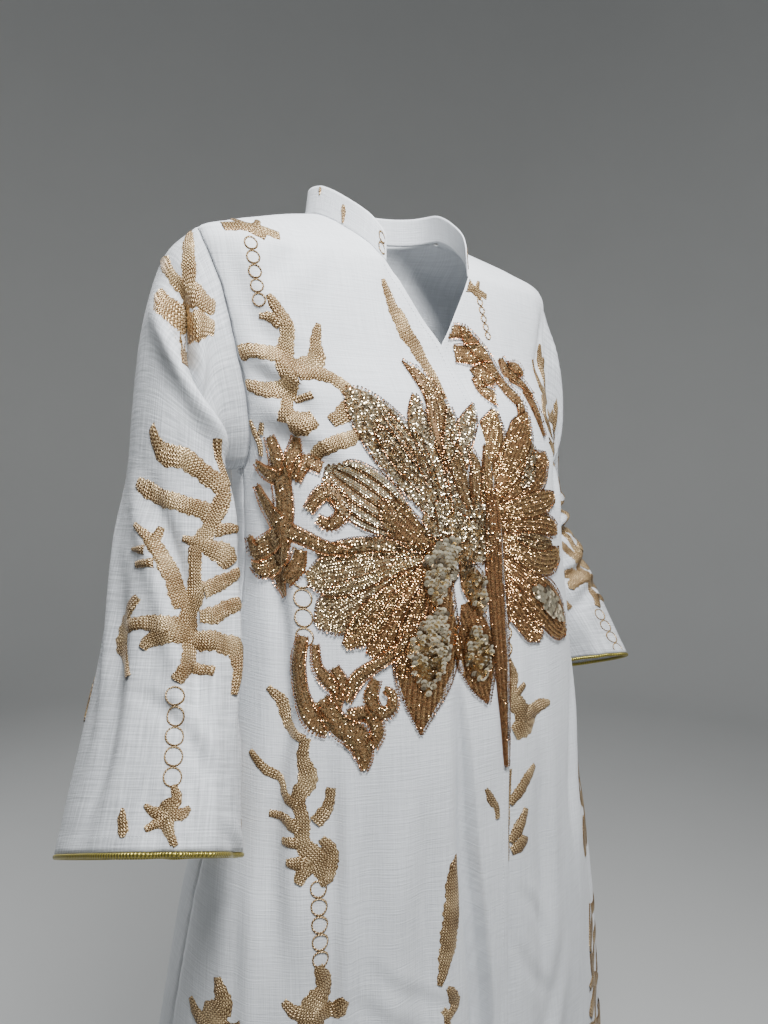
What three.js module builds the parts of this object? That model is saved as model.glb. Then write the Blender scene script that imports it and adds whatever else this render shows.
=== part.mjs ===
// A jalabiya: a long, open-fronted robe of thin cloth with a band collar, a V-shaped neck slit,
// set-in wide sleeves with corded cuffs and a large appliqued flower on the chest.
// Millimetres. +Z is up, the front faces -Y and +X is the wearer's left. The origin lies midway
// between the two points where the shoulder seams meet the neck.

import * as THREE from "three";

// Driving dimensions

const wall = 1.5; // thickness of the cloth
const seamGap = 0.3; // clear gap between two pieces at a seam
const seamTrim = 0.25; // what each panel gives up at a seam, so that its tilted edge stays clear
const sleeveClearance = 0.55; // more room at the armhole, where sleeve and panel meet at a slant
const cordClearance = 0.5; // the same between a cuff and its cord
const collarClearance = 0.2; // the same between the neckline and the collar
const sectionPower = 2.25; // how square a body section is: 2 is an ellipse
const shoulderTip = 42; // the shoulder tip lies this far below the neck points
const underarm = 237; // the underarm point, below the neck points
const armholeReach = { front: 28, back: 46 }; // the armhole before and behind the side line
const hem = 1430; // the hem, below the neck points
const slitFoot = 128; // below this the left front is tucked under the right
const collarHeight = 27;
const collarLean = 3; // the collar's top edge lies this far in from its foot
const underlapInset = 2.5; // the left front lies this far inside the right front
const tuckGrowth = 28; // the left front goes under over this height, down to the slit's foot
const tuckEdge = { from: 8, to: 30 }; // and comes out again this far past the right front's edge
const panelCuts = [250, 700]; // each front and the back is cut level here, so that it stays simple
const sleeveCut = 4; // each sleeve is cut at this ring, counted from the armhole
const cordRadius = 1.9; // the cord sewn round each cuff
const plateLift = 1.1; // an applique's underside above the cloth's face
const plateThickness = 1.0;
const wideLeaf = 40; // a leaf wider than this takes more points, to follow the cloth

// Body sections: half width, reach forward and back from the side line, sideways shift of the
// centre, and the side line's own place in Y. "down" is the distance below the neck points.
const bodySections = [
  { down: 0, halfWidth: 74, front: 14, back: 50, sway: 0, lean: 0 },
  { down: 10, halfWidth: 110, front: 27, back: 62, sway: 0, lean: -6 },
  { down: 20, halfWidth: 143, front: 36, back: 73, sway: 0, lean: -12 },
  { down: 30, halfWidth: 172, front: 44, back: 83, sway: 0, lean: -18 },
  { down: 42, halfWidth: 200, front: 50, back: 92, sway: 0, lean: -25 },
  { down: 54, halfWidth: 203, front: 59, back: 96, sway: 0, lean: -26 },
  { down: 100, halfWidth: 197, front: 70, back: 104, sway: 1, lean: -27 },
  { down: 135, halfWidth: 191, front: 79, back: 106, sway: 4, lean: -27 },
  { down: 180, halfWidth: 183, front: 98, back: 106, sway: 12, lean: -28 },
  { down: 240, halfWidth: 177, front: 113, back: 103, sway: 19, lean: -29 },
  { down: 310, halfWidth: 177, front: 124, back: 100, sway: 21, lean: -30 },
  { down: 390, halfWidth: 186, front: 131, back: 105, sway: 22, lean: -30 },
  { down: 490, halfWidth: 200, front: 136, back: 119, sway: 23, lean: -30 },
  { down: 550, halfWidth: 209, front: 137, back: 128, sway: 23, lean: -30 },
  { down: 610, halfWidth: 226, front: 138, back: 139, sway: 24, lean: -30 },
  { down: 810, halfWidth: 262, front: 146, back: 168, sway: 26, lean: -30 },
  { down: 1110, halfWidth: 302, front: 168, back: 206, sway: 28, lean: -30 },
  { down: 1430, halfWidth: 340, front: 194, back: 240, sway: 28, lean: -30 },
];

// The free edge of each front, sideways from the centre of the section: the neckline down to
// the collar's end, the V slit, then the overlap, where the right front lies over the left.
const openingEdges = [
  { down: 0, right: -74, left: 74 },
  { down: 10, right: -71, left: 71 },
  { down: 20, right: -67, left: 67 },
  { down: 30, right: -62, left: 62 },
  { down: 42, right: -55, left: 55 },
  { down: 54, right: -48, left: 48 },
  { down: 75, right: -36, left: 34 },
  { down: 100, right: -20, left: 17 },
  { down: 128, right: -3, left: -2 },
  { down: 160, right: 5, left: -12 },
  { down: 210, right: 9, left: -18 },
  { down: 300, right: 12, left: -18 },
  { down: 430, right: 14, left: -16 },
  { down: 1430, right: 14, left: -16 },
];

// Heights of the rows of points: near the neck and armholes they are shared by every piece that
// meets there, so that the seams match.
const neckRows = [1.5, 10, 20, 30, 42, 54];
const armholeRows = [42, 54, 75, 100, 128, 160, 185, 210, 226, 237];
const lowerRows = [265, 297, 332, 372, 430, 500, 590, 830, 980, 1130, 1280, 1430];
// First columns of each front, from its free edge: those of the overlap lie on each other.
const rightEdgeColumns = [0, 14, 30, 47];
const leftEdgeColumns = [0, 16, 30, 47];
const evenColumns = 9; // further columns of a front, evenly spaced
const backColumns = 18;

// The pleat beside the opening: its middle's distance from the centre front, positive to the
// wearer's left, and how deep and wide it is at each height.
const pleat = [
  { down: 415, place: -46, depth: 0, width: 10 },
  { down: 560, place: -30, depth: 6, width: 14 },
  { down: 730, place: -12, depth: 10, width: 18 },
  { down: 1000, place: -6, depth: 13, width: 24 },
  { down: 1430, place: -6, depth: 16, width: 30 },
];

// Folds that run down the skirt: "top" and "foot" are the distances from the centre front or
// back, positive to the wearer's left, where the fold starts at "from" and ends at the hem.
const frontFolds = [
  { from: 500, top: -150, foot: -176, width: 40, depth: 20 },
  { from: 640, top: -225, foot: -330, width: 60, depth: 24 },
  { from: 600, top: 105, foot: 150, width: 52, depth: 20 },
  { from: 700, top: 205, foot: 300, width: 60, depth: 26 },
];
const backFolds = [
  { from: 420, top: -205, foot: -345, width: 66, depth: 28 },
  { from: 330, top: -95, foot: -165, width: 56, depth: 26 },
  { from: 480, top: 10, foot: 20, width: 60, depth: 22 },
  { from: 360, top: 110, foot: 190, width: 58, depth: 26 },
  { from: 460, top: 215, foot: 350, width: 64, depth: 26 },
];

// Sleeve sections past the armhole: the point over the arm, the point under it, the middle in
// Y, the half depth from front to back, and how far the ring's front edge is turned up.
const rightSleeve = [
  { overOut: 222, overDown: 66, underOut: 181, underDown: 239, y: -19, depth: 42, turn: 0 },
  { overOut: 238, overDown: 118, underOut: 179, underDown: 243, y: -21, depth: 49, turn: 0 },
  { overOut: 247, overDown: 183, underOut: 178, underDown: 249, y: -24, depth: 54, turn: 0 },
  { overOut: 254, overDown: 250, underOut: 177, underDown: 262, y: -27, depth: 58, turn: 2 },
  { overOut: 266, overDown: 315, underOut: 177, underDown: 322, y: -32, depth: 69, turn: 6 },
  { overOut: 279, overDown: 382, underOut: 180, underDown: 394, y: -41, depth: 79, turn: 11 },
  { overOut: 299, overDown: 450, underOut: 187, underDown: 474, y: -56, depth: 94, turn: 18 },
  { overOut: 320, overDown: 514, underOut: 197, underDown: 550, y: -74, depth: 106, turn: 24 },
];
const leftSleeve = [
  { overOut: 222, overDown: 64, underOut: 205, underDown: 238, y: -13, depth: 42, turn: 0 },
  { overOut: 239, overDown: 112, underOut: 207, underDown: 242, y: -2, depth: 50, turn: 0 },
  { overOut: 252, overDown: 177, underOut: 208, underDown: 250, y: 12, depth: 56, turn: 0 },
  { overOut: 272, overDown: 245, underOut: 209, underDown: 262, y: 27, depth: 60, turn: 0 },
  { overOut: 303, overDown: 304, underOut: 212, underDown: 322, y: 38, depth: 68, turn: 6 },
  { overOut: 324, overDown: 362, underOut: 222, underDown: 368, y: 26, depth: 72, turn: 14 },
  { overOut: 333, overDown: 418, underOut: 240, underDown: 416, y: -4, depth: 66, turn: 18 },
  { overOut: 338, overDown: 472, underOut: 260, underDown: 462, y: -36, depth: 60, turn: 20 },
];

// The drape fold at the front of each sleeve: it starts over the arm and runs down to the
// underarm. "ring" counts the sleeve's sections from the armhole, "angle" is in degrees.
const sleeveFold = [
  { ring: 0.5, angle: 25, depth: 0, width: 18 },
  { ring: 1, angle: 44, depth: 5, width: 22 },
  { ring: 2, angle: 66, depth: 8, width: 24 },
  { ring: 3, angle: 84, depth: 7, width: 24 },
  { ring: 4, angle: 96, depth: 3, width: 24 },
  { ring: 5, angle: 104, depth: 0, width: 24 },
];

// Petals of the flower, round its heart: the side of the opening they lie on, their direction
// in degrees from the wearer's left, turning up, and where they start and end.
const heart = { place: -42, down: 300, radius: 24 };
const petals = [
  { side: "right", angle: 79, start: 34, end: 128, width: 26, bend: -3 },
  { side: "right", angle: 101, start: 34, end: 152, width: 34, bend: 4 },
  { side: "right", angle: 125, start: 34, end: 126, width: 32, bend: -3 },
  { side: "right", angle: 150, start: 34, end: 124, width: 34, bend: 3 },
  { side: "right", angle: 177, start: 34, end: 118, width: 36, bend: -3 },
  { side: "right", angle: 204, start: 34, end: 122, width: 34, bend: 3 },
  { side: "right", angle: 230, start: 34, end: 118, width: 30, bend: -3 },
  { side: "right", angle: 255, start: 34, end: 156, width: 38, bend: 4 },
  { side: "right", angle: 281, start: 36, end: 138, width: 30, bend: 3 },
  { side: "left", angle: 50, start: 104, end: 152, width: 30, bend: -3 },
  { side: "left", angle: 31, start: 76, end: 192, width: 46, bend: 4 },
  { side: "left", angle: 4, start: 66, end: 156, width: 40, bend: 4 },
  { side: "left", angle: -22, start: 72, end: 172, width: 44, bend: -4 },
  { side: "left", angle: -44, start: 94, end: 146, width: 32, bend: 3 },
];

// Scrolled sprays round the flower: the foot of each, its direction, length and width.
const sprays = [
  {
    name: "spray_side", side: "right", place: -184, down: 338,
    angle: 99, length: 132, width: 54, bend: -8,
  },
  {
    name: "spray_lower", side: "right", place: -182, down: 378,
    angle: -52, length: 112, width: 44, bend: 10,
  },
  {
    name: "spray_upper", side: "left", place: 26, down: 112,
    angle: -26, length: 104, width: 42, bend: 10,
  },
];

// Finishes

const cloth = { color: 0xe9ebec, roughness: 0.82, metalness: 0 };
const cord = { color: 0xa9924f, roughness: 0.38, metalness: 0.8 };
const goldSequin = { color: 0xb59a63, roughness: 0.35, metalness: 0.7 };
const copperSequin = { color: 0xa8683c, roughness: 0.35, metalness: 0.7 };

// Smooth tables

/** A column of a table as a smooth function of its key, with no overshoot between rows. */
function smoothColumn(rows, key, name) {
  const at = rows.map((row) => row[key]);
  const value = rows.map((row) => row[name]);
  const last = at.length - 1;
  const slope = (i) => (value[i + 1] - value[i]) / (at[i + 1] - at[i]);
  const tangent = at.map((_, i) => {
    if (i === 0 || i === last) return slope(Math.min(i, last - 1));
    const product = slope(i - 1) * slope(i);
    return product <= 0 ? 0 : (2 * product) / (slope(i - 1) + slope(i));
  });
  return (place) => {
    let i = 0;
    while (i < last - 1 && place > at[i + 1]) i += 1;
    const span = at[i + 1] - at[i];
    const t = THREE.MathUtils.clamp((place - at[i]) / span, 0, 1);
    const rise = value[i + 1] - value[i];
    const start = tangent[i] * span;
    const end = tangent[i + 1] * span;
    return value[i] + t * (start + t * (3 * rise - 2 * start - end + t * (start + end - 2 * rise)));
  };
}

const body = {};
for (const name of ["halfWidth", "front", "back", "sway", "lean"]) {
  body[name] = smoothColumn(bodySections, "down", name);
}
const pleatPlace = smoothColumn(pleat, "down", "place");
const pleatDepth = smoothColumn(pleat, "down", "depth");
const pleatWidth = smoothColumn(pleat, "down", "width");
const foldAngle = smoothColumn(sleeveFold, "ring", "angle");
const foldPress = smoothColumn(sleeveFold, "ring", "depth");
const foldWidth = smoothColumn(sleeveFold, "ring", "width");
const rightEdge = smoothColumn(openingEdges, "down", "right");
const leftEdge = smoothColumn(openingEdges, "down", "left");

// Body surface

/** The point of a section at an angle: 0 at the wearer's left side, 90 degrees at the middle. */
function sectionPoint(side, down, angle) {
  const power = 2 / sectionPower;
  const across = Math.sign(Math.cos(angle)) * Math.abs(Math.cos(angle)) ** power;
  const along = Math.abs(Math.sin(angle)) ** power;
  return new THREE.Vector3(
    body.sway(down) + body.halfWidth(down) * across,
    body.lean(down) + (side === "front" ? -1 : 1) * body[side](down) * along,
    -down,
  );
}

/** The half section as a chain of points, with the distance of each from the centre line. */
function measuredSection(side, down) {
  const steps = 120;
  const turns = [...Array(steps + 1).keys()].map((i) => (Math.PI * i) / steps);
  const points = turns.map((turn) => sectionPoint(side, down, turn));
  const places = new Array(points.length).fill(0);
  const middle = steps / 2;
  for (let i = middle - 1; i >= 0; i -= 1) {
    places[i] = places[i + 1] + points[i].distanceTo(points[i + 1]);
  }
  for (let i = middle + 1; i <= steps; i += 1) {
    places[i] = places[i - 1] - points[i].distanceTo(points[i - 1]);
  }
  return { side, points, places };
}

/** The point of a measured section that lies this far round from the centre line. */
function pointAt({ points, places }, place) {
  let i = 0;
  while (i < places.length - 2 && place < places[i + 1]) i += 1;
  const t = (place - places[i]) / (places[i + 1] - places[i]);
  return points[i].clone().lerp(points[i + 1], t);
}

/** How far round from the centre line the section passes a given distance sideways. */
function placeOfSideways({ points, places }, sideways, sway) {
  let i = 0;
  while (i < points.length - 2 && sideways + sway < points[i + 1].x) i += 1;
  const t = (sideways + sway - points[i].x) / (points[i + 1].x - points[i].x);
  return places[i] + t * (places[i + 1] - places[i]);
}

/** How far the armhole reaches from the side line at a height; nothing above and below it. */
function armholeWidth(side, down) {
  const middle = (shoulderTip + underarm) / 2;
  const reach = (underarm - shoulderTip) / 2;
  return armholeReach[side] * Math.sqrt(Math.max(0, 1 - ((down - middle) / reach) ** 2));
}

/** Where a half section ends at the shoulder seam, the armhole or the side seam. */
function placeOfSeam({ side, points, places }, down, toLeft) {
  const off = armholeWidth(side, down);
  const lean = body.lean(down);
  const order = toLeft ? [...points.keys()] : [...points.keys()].reverse();
  for (let k = 1; k < order.length; k += 1) {
    const before = Math.abs(points[order[k - 1]].y - lean);
    const after = Math.abs(points[order[k]].y - lean);
    if (after > off) {
      const t = (off - before) / (after - before);
      return places[order[k - 1]] + t * (places[order[k]] - places[order[k - 1]]);
    }
  }
  throw new Error("the armhole is wider than the section");
}

/** 0 up to the first edge, 1 past the second, and a soft rise between them. */
function ramp(value, first, second) {
  return THREE.MathUtils.smoothstep(value, first, second);
}

/** A soft trough across a fold: 1 in its middle, nearly 0 at its width to either side. */
function trough(off, width) {
  return Math.exp(-2 * (off / width) ** 2);
}

const foldsGrown = 0.8 * hem; // the folds have their whole depth and width from here down
const foldStart = 0.6; // share of its width that a fold starts with

/** How far the cloth is pressed in at a place by the folds. */
function foldDepth(folds, place, down) {
  let depth = 0;
  for (const fold of folds) {
    const growth = ramp(down, fold.from, foldsGrown);
    const slant = (down - fold.from) / (hem - fold.from);
    const middle = fold.top + (fold.foot - fold.top) * Math.max(0, slant);
    const width = fold.width * (foldStart + (1 - foldStart) * growth);
    depth += fold.depth * growth * trough(place - middle, width);
  }
  return depth;
}

// Solids from grids

/** Outward normals of a grid of points, from the steps to its neighbours. */
function gridNormals(grid, wraps) {
  return grid.map((row, r) =>
    row.map((_, c) => {
      const count = row.length;
      const up = grid[Math.max(r - 1, 0)][c];
      const under = grid[Math.min(r + 1, grid.length - 1)][c];
      const before = wraps ? row[(c - 1 + count) % count] : row[Math.max(c - 1, 0)];
      const after = wraps ? row[(c + 1) % count] : row[Math.min(c + 1, count - 1)];
      const alongRow = after.clone().sub(before);
      const downColumn = under.clone().sub(up);
      return downColumn.cross(alongRow).normalize();
    }),
  );
}

/** Each point of a grid moved along its normal. */
function movedOut(grid, normals, distance) {
  return grid.map((row, r) => {
    return row.map((point, c) => point.clone().addScaledVector(normals[r][c], distance));
  });
}

/** A closed solid between an outer and an inner grid; rows that wrap close on themselves. */
function solidBetween(outer, inner, wraps) {
  const rows = outer.length;
  const columns = outer[0].length;
  const positions = [...outer.flat(), ...inner.flat()].flatMap((point) => point.toArray());
  const index = [];
  const quad = (a, b, c, d) => index.push(a, b, c, a, c, d);
  const out = (r, c) => r * columns + (c % columns);
  const into = (r, c) => rows * columns + out(r, c);
  const across = wraps ? columns : columns - 1;
  for (let r = 0; r < rows - 1; r += 1) {
    for (let c = 0; c < across; c += 1) {
      quad(out(r, c), out(r + 1, c), out(r + 1, c + 1), out(r, c + 1));
      quad(into(r, c), into(r, c + 1), into(r + 1, c + 1), into(r + 1, c));
    }
  }
  for (let c = 0; c < across; c += 1) {
    quad(out(0, c), out(0, c + 1), into(0, c + 1), into(0, c));
    quad(out(rows - 1, c), into(rows - 1, c), into(rows - 1, c + 1), out(rows - 1, c + 1));
  }
  if (!wraps) {
    for (let r = 0; r < rows - 1; r += 1) {
      quad(out(r, 0), into(r, 0), into(r + 1, 0), out(r + 1, 0));
      const c = columns - 1;
      quad(out(r, c), out(r + 1, c), into(r + 1, c), into(r, c));
    }
  }
  const geometry = new THREE.BufferGeometry();
  geometry.setAttribute("position", new THREE.Float32BufferAttribute(positions, 3));
  geometry.setIndex(index);
  geometry.computeVertexNormals();
  return geometry;
}

/** A row drawn back from a cut by half the seam gap; a level cut has its height given. */
function drawnBack(row, next, height) {
  return row.map((point, c) => {
    const rise = next[c].z - point.z;
    const byHeight = (height + (Math.sign(rise) * seamGap) / 2 - point.z) / rise;
    const byLength = seamGap / 2 / point.distanceTo(next[c]);
    return point.clone().lerp(next[c], height === undefined ? byLength : byHeight);
  });
}

/** The rows of a layer between two ends, drawn back at each end that is a cut. */
function stretchOf(layer, first, last) {
  const rows = layer.slice(first.row, last.row + 1);
  const top = first.isCut ? drawnBack(rows[0], rows[1], first.height) : rows[0];
  const foot = last.isCut ? drawnBack(rows.at(-1), rows.at(-2), last.height) : rows.at(-1);
  return [top, ...rows.slice(1, -1), foot];
}

/** Cloth on a grid, in solids from cut to cut. A cut has its row, and its height if level. */
function clothInStretches(grid, cuts, wraps) {
  const normals = gridNormals(grid, wraps);
  const outer = movedOut(grid, normals, wall / 2);
  const inner = movedOut(grid, normals, -wall / 2);
  const marked = cuts.map((cut) => ({ ...cut, isCut: true }));
  const ends = [{ row: 0 }, ...marked, { row: grid.length - 1 }];
  return ends.slice(1).map((last, i) => {
    const layers = [outer, inner].map((layer) => stretchOf(layer, ends[i], last));
    return solidBetween(...layers, wraps);
  });
}

const group = new THREE.Group();

function add(name, geometry, finish) {
  const mesh = new THREE.Mesh(geometry, new THREE.MeshStandardMaterial(finish));
  mesh.name = name;
  group.add(mesh);
}

// Fronts and back

const panelRows = [...armholeRows, ...lowerRows, ...panelCuts].sort((a, b) => a - b);

/** A front as a grid: each row runs from the wearer's right to the wearer's left. */
function frontGrid(toLeft) {
  const edge = toLeft ? leftEdge : rightEdge;
  const rows = [...neckRows.filter((down) => down < shoulderTip), ...panelRows];
  const grid = rows.map((down) => {
    const section = measuredSection("front", down);
    const direction = toLeft ? 1 : -1;
    const start = placeOfSideways(section, edge(down), body.sway(down));
    const seam = placeOfSeam(section, down, toLeft) - direction * seamTrim;
    const length = Math.abs(seam - start);
    const squeeze = Math.min(1, length / 220);
    const columns = toLeft ? leftEdgeColumns : rightEdgeColumns;
    const places = columns.map((distance) => start + direction * distance * squeeze);
    const from = places.at(-1);
    for (let c = 1; c <= evenColumns; c += 1) {
      places.push(from + ((seam - from) * c) / evenColumns);
    }
    const row = places.map((place) => {
      const point = pointAt(section, place);
      point.place = place;
      point.down = down;
      return point;
    });
    return toLeft ? row : row.reverse();
  });
  return pressedIn(grid, (place, down) => frontDepth(toLeft, place, down));
}

/** How far a front is pressed in at a place: its folds, the pleat, and the left front's tuck. */
function frontDepth(toLeft, place, down) {
  const pleated = pleatDepth(down) * trough(place - pleatPlace(down), pleatWidth(down));
  const depth = foldDepth(frontFolds, place, down) + pleated;
  const past = place - rightEdge(down);
  const under = ramp(down, slitFoot - tuckGrowth, slitFoot);
  const tucked = under * (1 - ramp(past, tuckEdge.from, tuckEdge.to));
  return toLeft ? depth + underlapInset * tucked : depth;
}

/** The back as a grid: each row runs from the wearer's left to the wearer's right. */
function backGrid() {
  const rows = [0, ...neckRows.slice(1).filter((down) => down < shoulderTip), ...panelRows];
  const grid = rows.map((down) => {
    const section = measuredSection("back", down);
    const left = placeOfSeam(section, down, true) - seamTrim;
    const right = placeOfSeam(section, down, false) + seamTrim;
    const row = [];
    for (let c = 0; c <= backColumns; c += 1) {
      const place = left + ((right - left) * c) / backColumns;
      const point = pointAt(section, place);
      point.place = place;
      point.down = down;
      row.push(point);
    }
    return row;
  });
  return pressedIn(grid, (place, down) => foldDepth(backFolds, place, down));
}

/** A grid with each point moved in, along its normal, by the depth at its place. */
function pressedIn(grid, depthAt) {
  const normals = gridNormals(grid, false);
  return grid.map((row, r) =>
    row.map((point, c) => {
      const moved = point.clone().addScaledVector(normals[r][c], -depthAt(point.place, point.down));
      moved.place = point.place;
      moved.down = point.down;
      return moved;
    }),
  );
}

/** Adds a panel as cloth, in three stretches between its cuts. */
function addPanel(name, grid) {
  const cuts = panelCuts.map((down) => {
    return { row: grid.findIndex((row) => row[0].down === down), height: -down };
  });
  const solids = clothInStretches(grid, cuts, false);
  add(`${name}_upper`, solids[0], cloth);
  add(`${name}_middle`, solids[1], cloth);
  add(`${name}_lower`, solids[2], cloth);
}

const frontRightGrid = frontGrid(false);
const frontLeftGrid = frontGrid(true);
const backPanelGrid = backGrid();
addPanel("front_right", frontRightGrid);
addPanel("front_left", frontLeftGrid);
addPanel("back", backPanelGrid);

// Flower and sprays

/** The point of one row of a grid at a distance round from the centre line. */
function pointOfRow(row, place) {
  const rising = row.at(-1).place > row[0].place;
  const isPast = (point) => (rising ? place > point.place : place < point.place);
  let c = 0;
  while (c < row.length - 2 && isPast(row[c + 1])) c += 1;
  const t = (place - row[c].place) / (row[c + 1].place - row[c].place);
  return row[c].clone().lerp(row[c + 1], t);
}

/** A point on the face of a front, between its rows, raised by a height along the normal. */
function frontFace(grid, place, down, height) {
  let r = 0;
  while (r < grid.length - 2 && down > grid[r + 1][0].down) r += 1;
  const above = grid[r][0].down;
  const below = grid[r + 1][0].down;
  const upper = pointOfRow(grid[r], place);
  const lower = pointOfRow(grid[r + 1], place);
  const step = 8; // half the span over which the cloth's slope is taken
  const point = upper.clone().lerp(lower, (down - above) / (below - above));
  const across = pointOfRow(grid[r], place + step).sub(pointOfRow(grid[r], place - step));
  const normal = lower.sub(upper).cross(across).normalize();
  return point.addScaledVector(normal, wall / 2 + height);
}

const leafStations = [0.04, 0.22, 0.42, 0.62, 0.82, 0.97];
const wideLeafStations = [0.04, 0.14, 0.26, 0.38, 0.5, 0.62, 0.74, 0.86, 0.97];

/** A leaf's half width, as a share of its widest, this far along it. */
function leafShape(along) {
  return Math.sin(Math.PI * along ** 1.5) ** 0.8;
}

/** A leaf-shaped plate on a front: it starts at a foot, runs in a direction and bends aside. */
function leafPlate({ side, place, down, angle, length, width, bend }) {
  const grid = side === "left" ? frontLeftGrid : frontRightGrid;
  const turn = THREE.MathUtils.degToRad(angle);
  const wide = width > wideLeaf;
  const stations = wide ? wideLeafStations : leafStations;
  const across = wide ? [-1, -0.5, 0, 0.5, 1] : [-1, 0, 1];
  const layer = (height) =>
    stations.map((t) => {
      const half = (width / 2) * leafShape(t);
      const aside = bend * t * t;
      return across.map((s) => {
        const along = length * t;
        const off = aside + half * s;
        const facePlace = place + along * Math.cos(turn) - off * Math.sin(turn);
        const faceDown = down - along * Math.sin(turn) - off * Math.cos(turn);
        return frontFace(grid, facePlace, faceDown, height);
      });
    });
  return solidBetween(layer(plateLift + plateThickness), layer(plateLift), false);
}

/** The heart of the flower, a domed disc on the right front. */
function heartPlate() {
  const spokes = 10;
  const rings = [0.15, 0.6, 1];
  const layer = (height) =>
    rings.map((reach) =>
      [...Array(spokes).keys()].map((k) => {
        const turn = (2 * Math.PI * k) / spokes;
        const place = heart.place + heart.radius * reach * Math.cos(turn);
        const down = heart.down - heart.radius * reach * Math.sin(turn);
        return frontFace(frontRightGrid, place, down, height);
      }),
    );
  return solidBetween(layer(plateLift + plateThickness), layer(plateLift), true);
}

petals.forEach((petal, i) => {
  const turn = THREE.MathUtils.degToRad(petal.angle);
  const place = heart.place + petal.start * Math.cos(turn);
  const down = heart.down - petal.start * Math.sin(turn);
  const finish = petal.side === "left" ? copperSequin : goldSequin;
  add(`petal_${i + 1}`, leafPlate({ ...petal, place, down, length: petal.end - petal.start }), finish);
});
add("flower_heart", heartPlate(), goldSequin);
for (const spray of sprays) add(spray.name, leafPlate(spray), copperSequin);

// Sleeves

/** The armhole's edge as a loop: down the front from the shoulder tip, then up the back. */
function armholeLoop(direction) {
  const clear = wall / 2 + seamGap + sleeveClearance;
  const halfLoop = (side, levels) =>
    levels.map((down) => {
      const section = measuredSection(side, down);
      const point = pointAt(section, placeOfSeam(section, down, direction > 0));
      point.x += direction * clear;
      return point;
    });
  const backLevels = [...armholeRows].reverse().slice(1, -1);
  return [...halfLoop("front", armholeRows), ...halfLoop("back", backLevels)];
}

/** The angle round the sleeve of each point of the armhole's loop: 0 over the arm. */
function loopAngles() {
  const middle = (shoulderTip + underarm) / 2;
  const reach = (underarm - shoulderTip) / 2;
  const fronts = armholeRows.map((down) => Math.acos((middle - down) / reach));
  const backs = fronts.slice(1, -1).reverse();
  return [...fronts, ...backs.map((angle) => 2 * Math.PI - angle)];
}

/** One ring of a sleeve: an ellipse between the points over and under the arm. */
function sleeveRing(row, direction) {
  const over = new THREE.Vector3(direction * row.overOut, row.y, -row.overDown);
  const under = new THREE.Vector3(direction * row.underOut, row.y, -row.underDown);
  const middle = over.clone().add(under).multiplyScalar(0.5);
  const reach = over.clone().sub(under).multiplyScalar(0.5);
  const turn = THREE.MathUtils.degToRad(row.turn);
  const depth = new THREE.Vector3(0, -Math.cos(turn), Math.sin(turn)).multiplyScalar(row.depth);
  return loopAngles().map((angle) => {
    const point = middle.clone().addScaledVector(reach, Math.cos(angle));
    return point.addScaledVector(depth, Math.sin(angle));
  });
}

/** How far a sleeve is pressed in by its drape fold at a ring and an angle round it. */
function sleeveFoldDepth(ring, angle) {
  const off = (THREE.MathUtils.radToDeg(angle) - foldAngle(ring)) / foldWidth(ring);
  return foldPress(ring) * Math.exp(-2 * off * off);
}

/** A sleeve as a grid of rings, from the armhole to the cuff. */
function sleeveGrid(table, direction) {
  const angles = loopAngles();
  const rings = table.map((row, i) => {
    const middle = new THREE.Vector3(
      (direction * (row.overOut + row.underOut)) / 2,
      row.y,
      -(row.overDown + row.underDown) / 2,
    );
    return sleeveRing(row, direction).map((point, k) => {
      const inward = middle.clone().sub(point).normalize();
      return point.addScaledVector(inward, sleeveFoldDepth(i + 1, angles[k]));
    });
  });
  rings.unshift(armholeLoop(direction));
  return direction > 0 ? rings.map((ring) => [...ring].reverse()) : rings;
}

/** A round cord on the end of a sleeve, as a closed tube. */
function cuffCord(ring, ringBefore) {
  const sides = 6;
  const centre = new THREE.Vector3();
  for (const point of ring) centre.addScaledVector(point, 1 / ring.length);
  const curve = new THREE.CatmullRomCurve3(ring, true);
  const steps = ring.length * 2;
  const sections = [];
  for (let i = 0; i < steps; i += 1) {
    const t = i / steps;
    const point = curve.getPoint(t);
    const along = curve.getTangent(t);
    const near = ringBefore[Math.round(t * ring.length) % ring.length];
    const away = point.clone().sub(near);
    away.addScaledVector(along, -away.dot(along)).normalize();
    const outward = new THREE.Vector3().crossVectors(along, away).normalize();
    const middle = point.clone().addScaledVector(away, cordRadius + seamGap + cordClearance);
    const section = [];
    for (let k = 0; k < sides; k += 1) {
      const angle = (2 * Math.PI * k) / sides;
      const spoke = away.clone().multiplyScalar(Math.cos(angle));
      spoke.addScaledVector(outward, Math.sin(angle));
      section.push(middle.clone().addScaledVector(spoke, cordRadius));
    }
    sections.push(section);
  }
  return closedTube(sections);
}

/** A tube whose last section joins its first. */
function closedTube(sections) {
  const sides = sections[0].length;
  const index = [];
  sections.forEach((_, i) => {
    const next = (i + 1) % sections.length;
    for (let k = 0; k < sides; k += 1) {
      const a = i * sides + k;
      const b = i * sides + ((k + 1) % sides);
      const c = next * sides + ((k + 1) % sides);
      const d = next * sides + k;
      index.push(a, b, c, a, c, d);
    }
  });
  const geometry = new THREE.BufferGeometry();
  const positions = sections.flat().flatMap((point) => point.toArray());
  geometry.setAttribute("position", new THREE.Float32BufferAttribute(positions, 3));
  geometry.setIndex(index);
  geometry.computeVertexNormals();
  return geometry;
}

const sleeves = [
  { name: "right", table: rightSleeve, direction: -1 },
  { name: "left", table: leftSleeve, direction: 1 },
];
for (const { name, table, direction } of sleeves) {
  const grid = sleeveGrid(table, direction);
  const [upper, lower] = clothInStretches(grid, [{ row: sleeveCut }], true);
  add(`sleeve_${name}_upper`, upper, cloth);
  add(`sleeve_${name}_lower`, lower, cloth);
  add(`cuff_cord_${name}`, cuffCord(grid.at(-1), grid.at(-2)), cord);
}

// Collar

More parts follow.
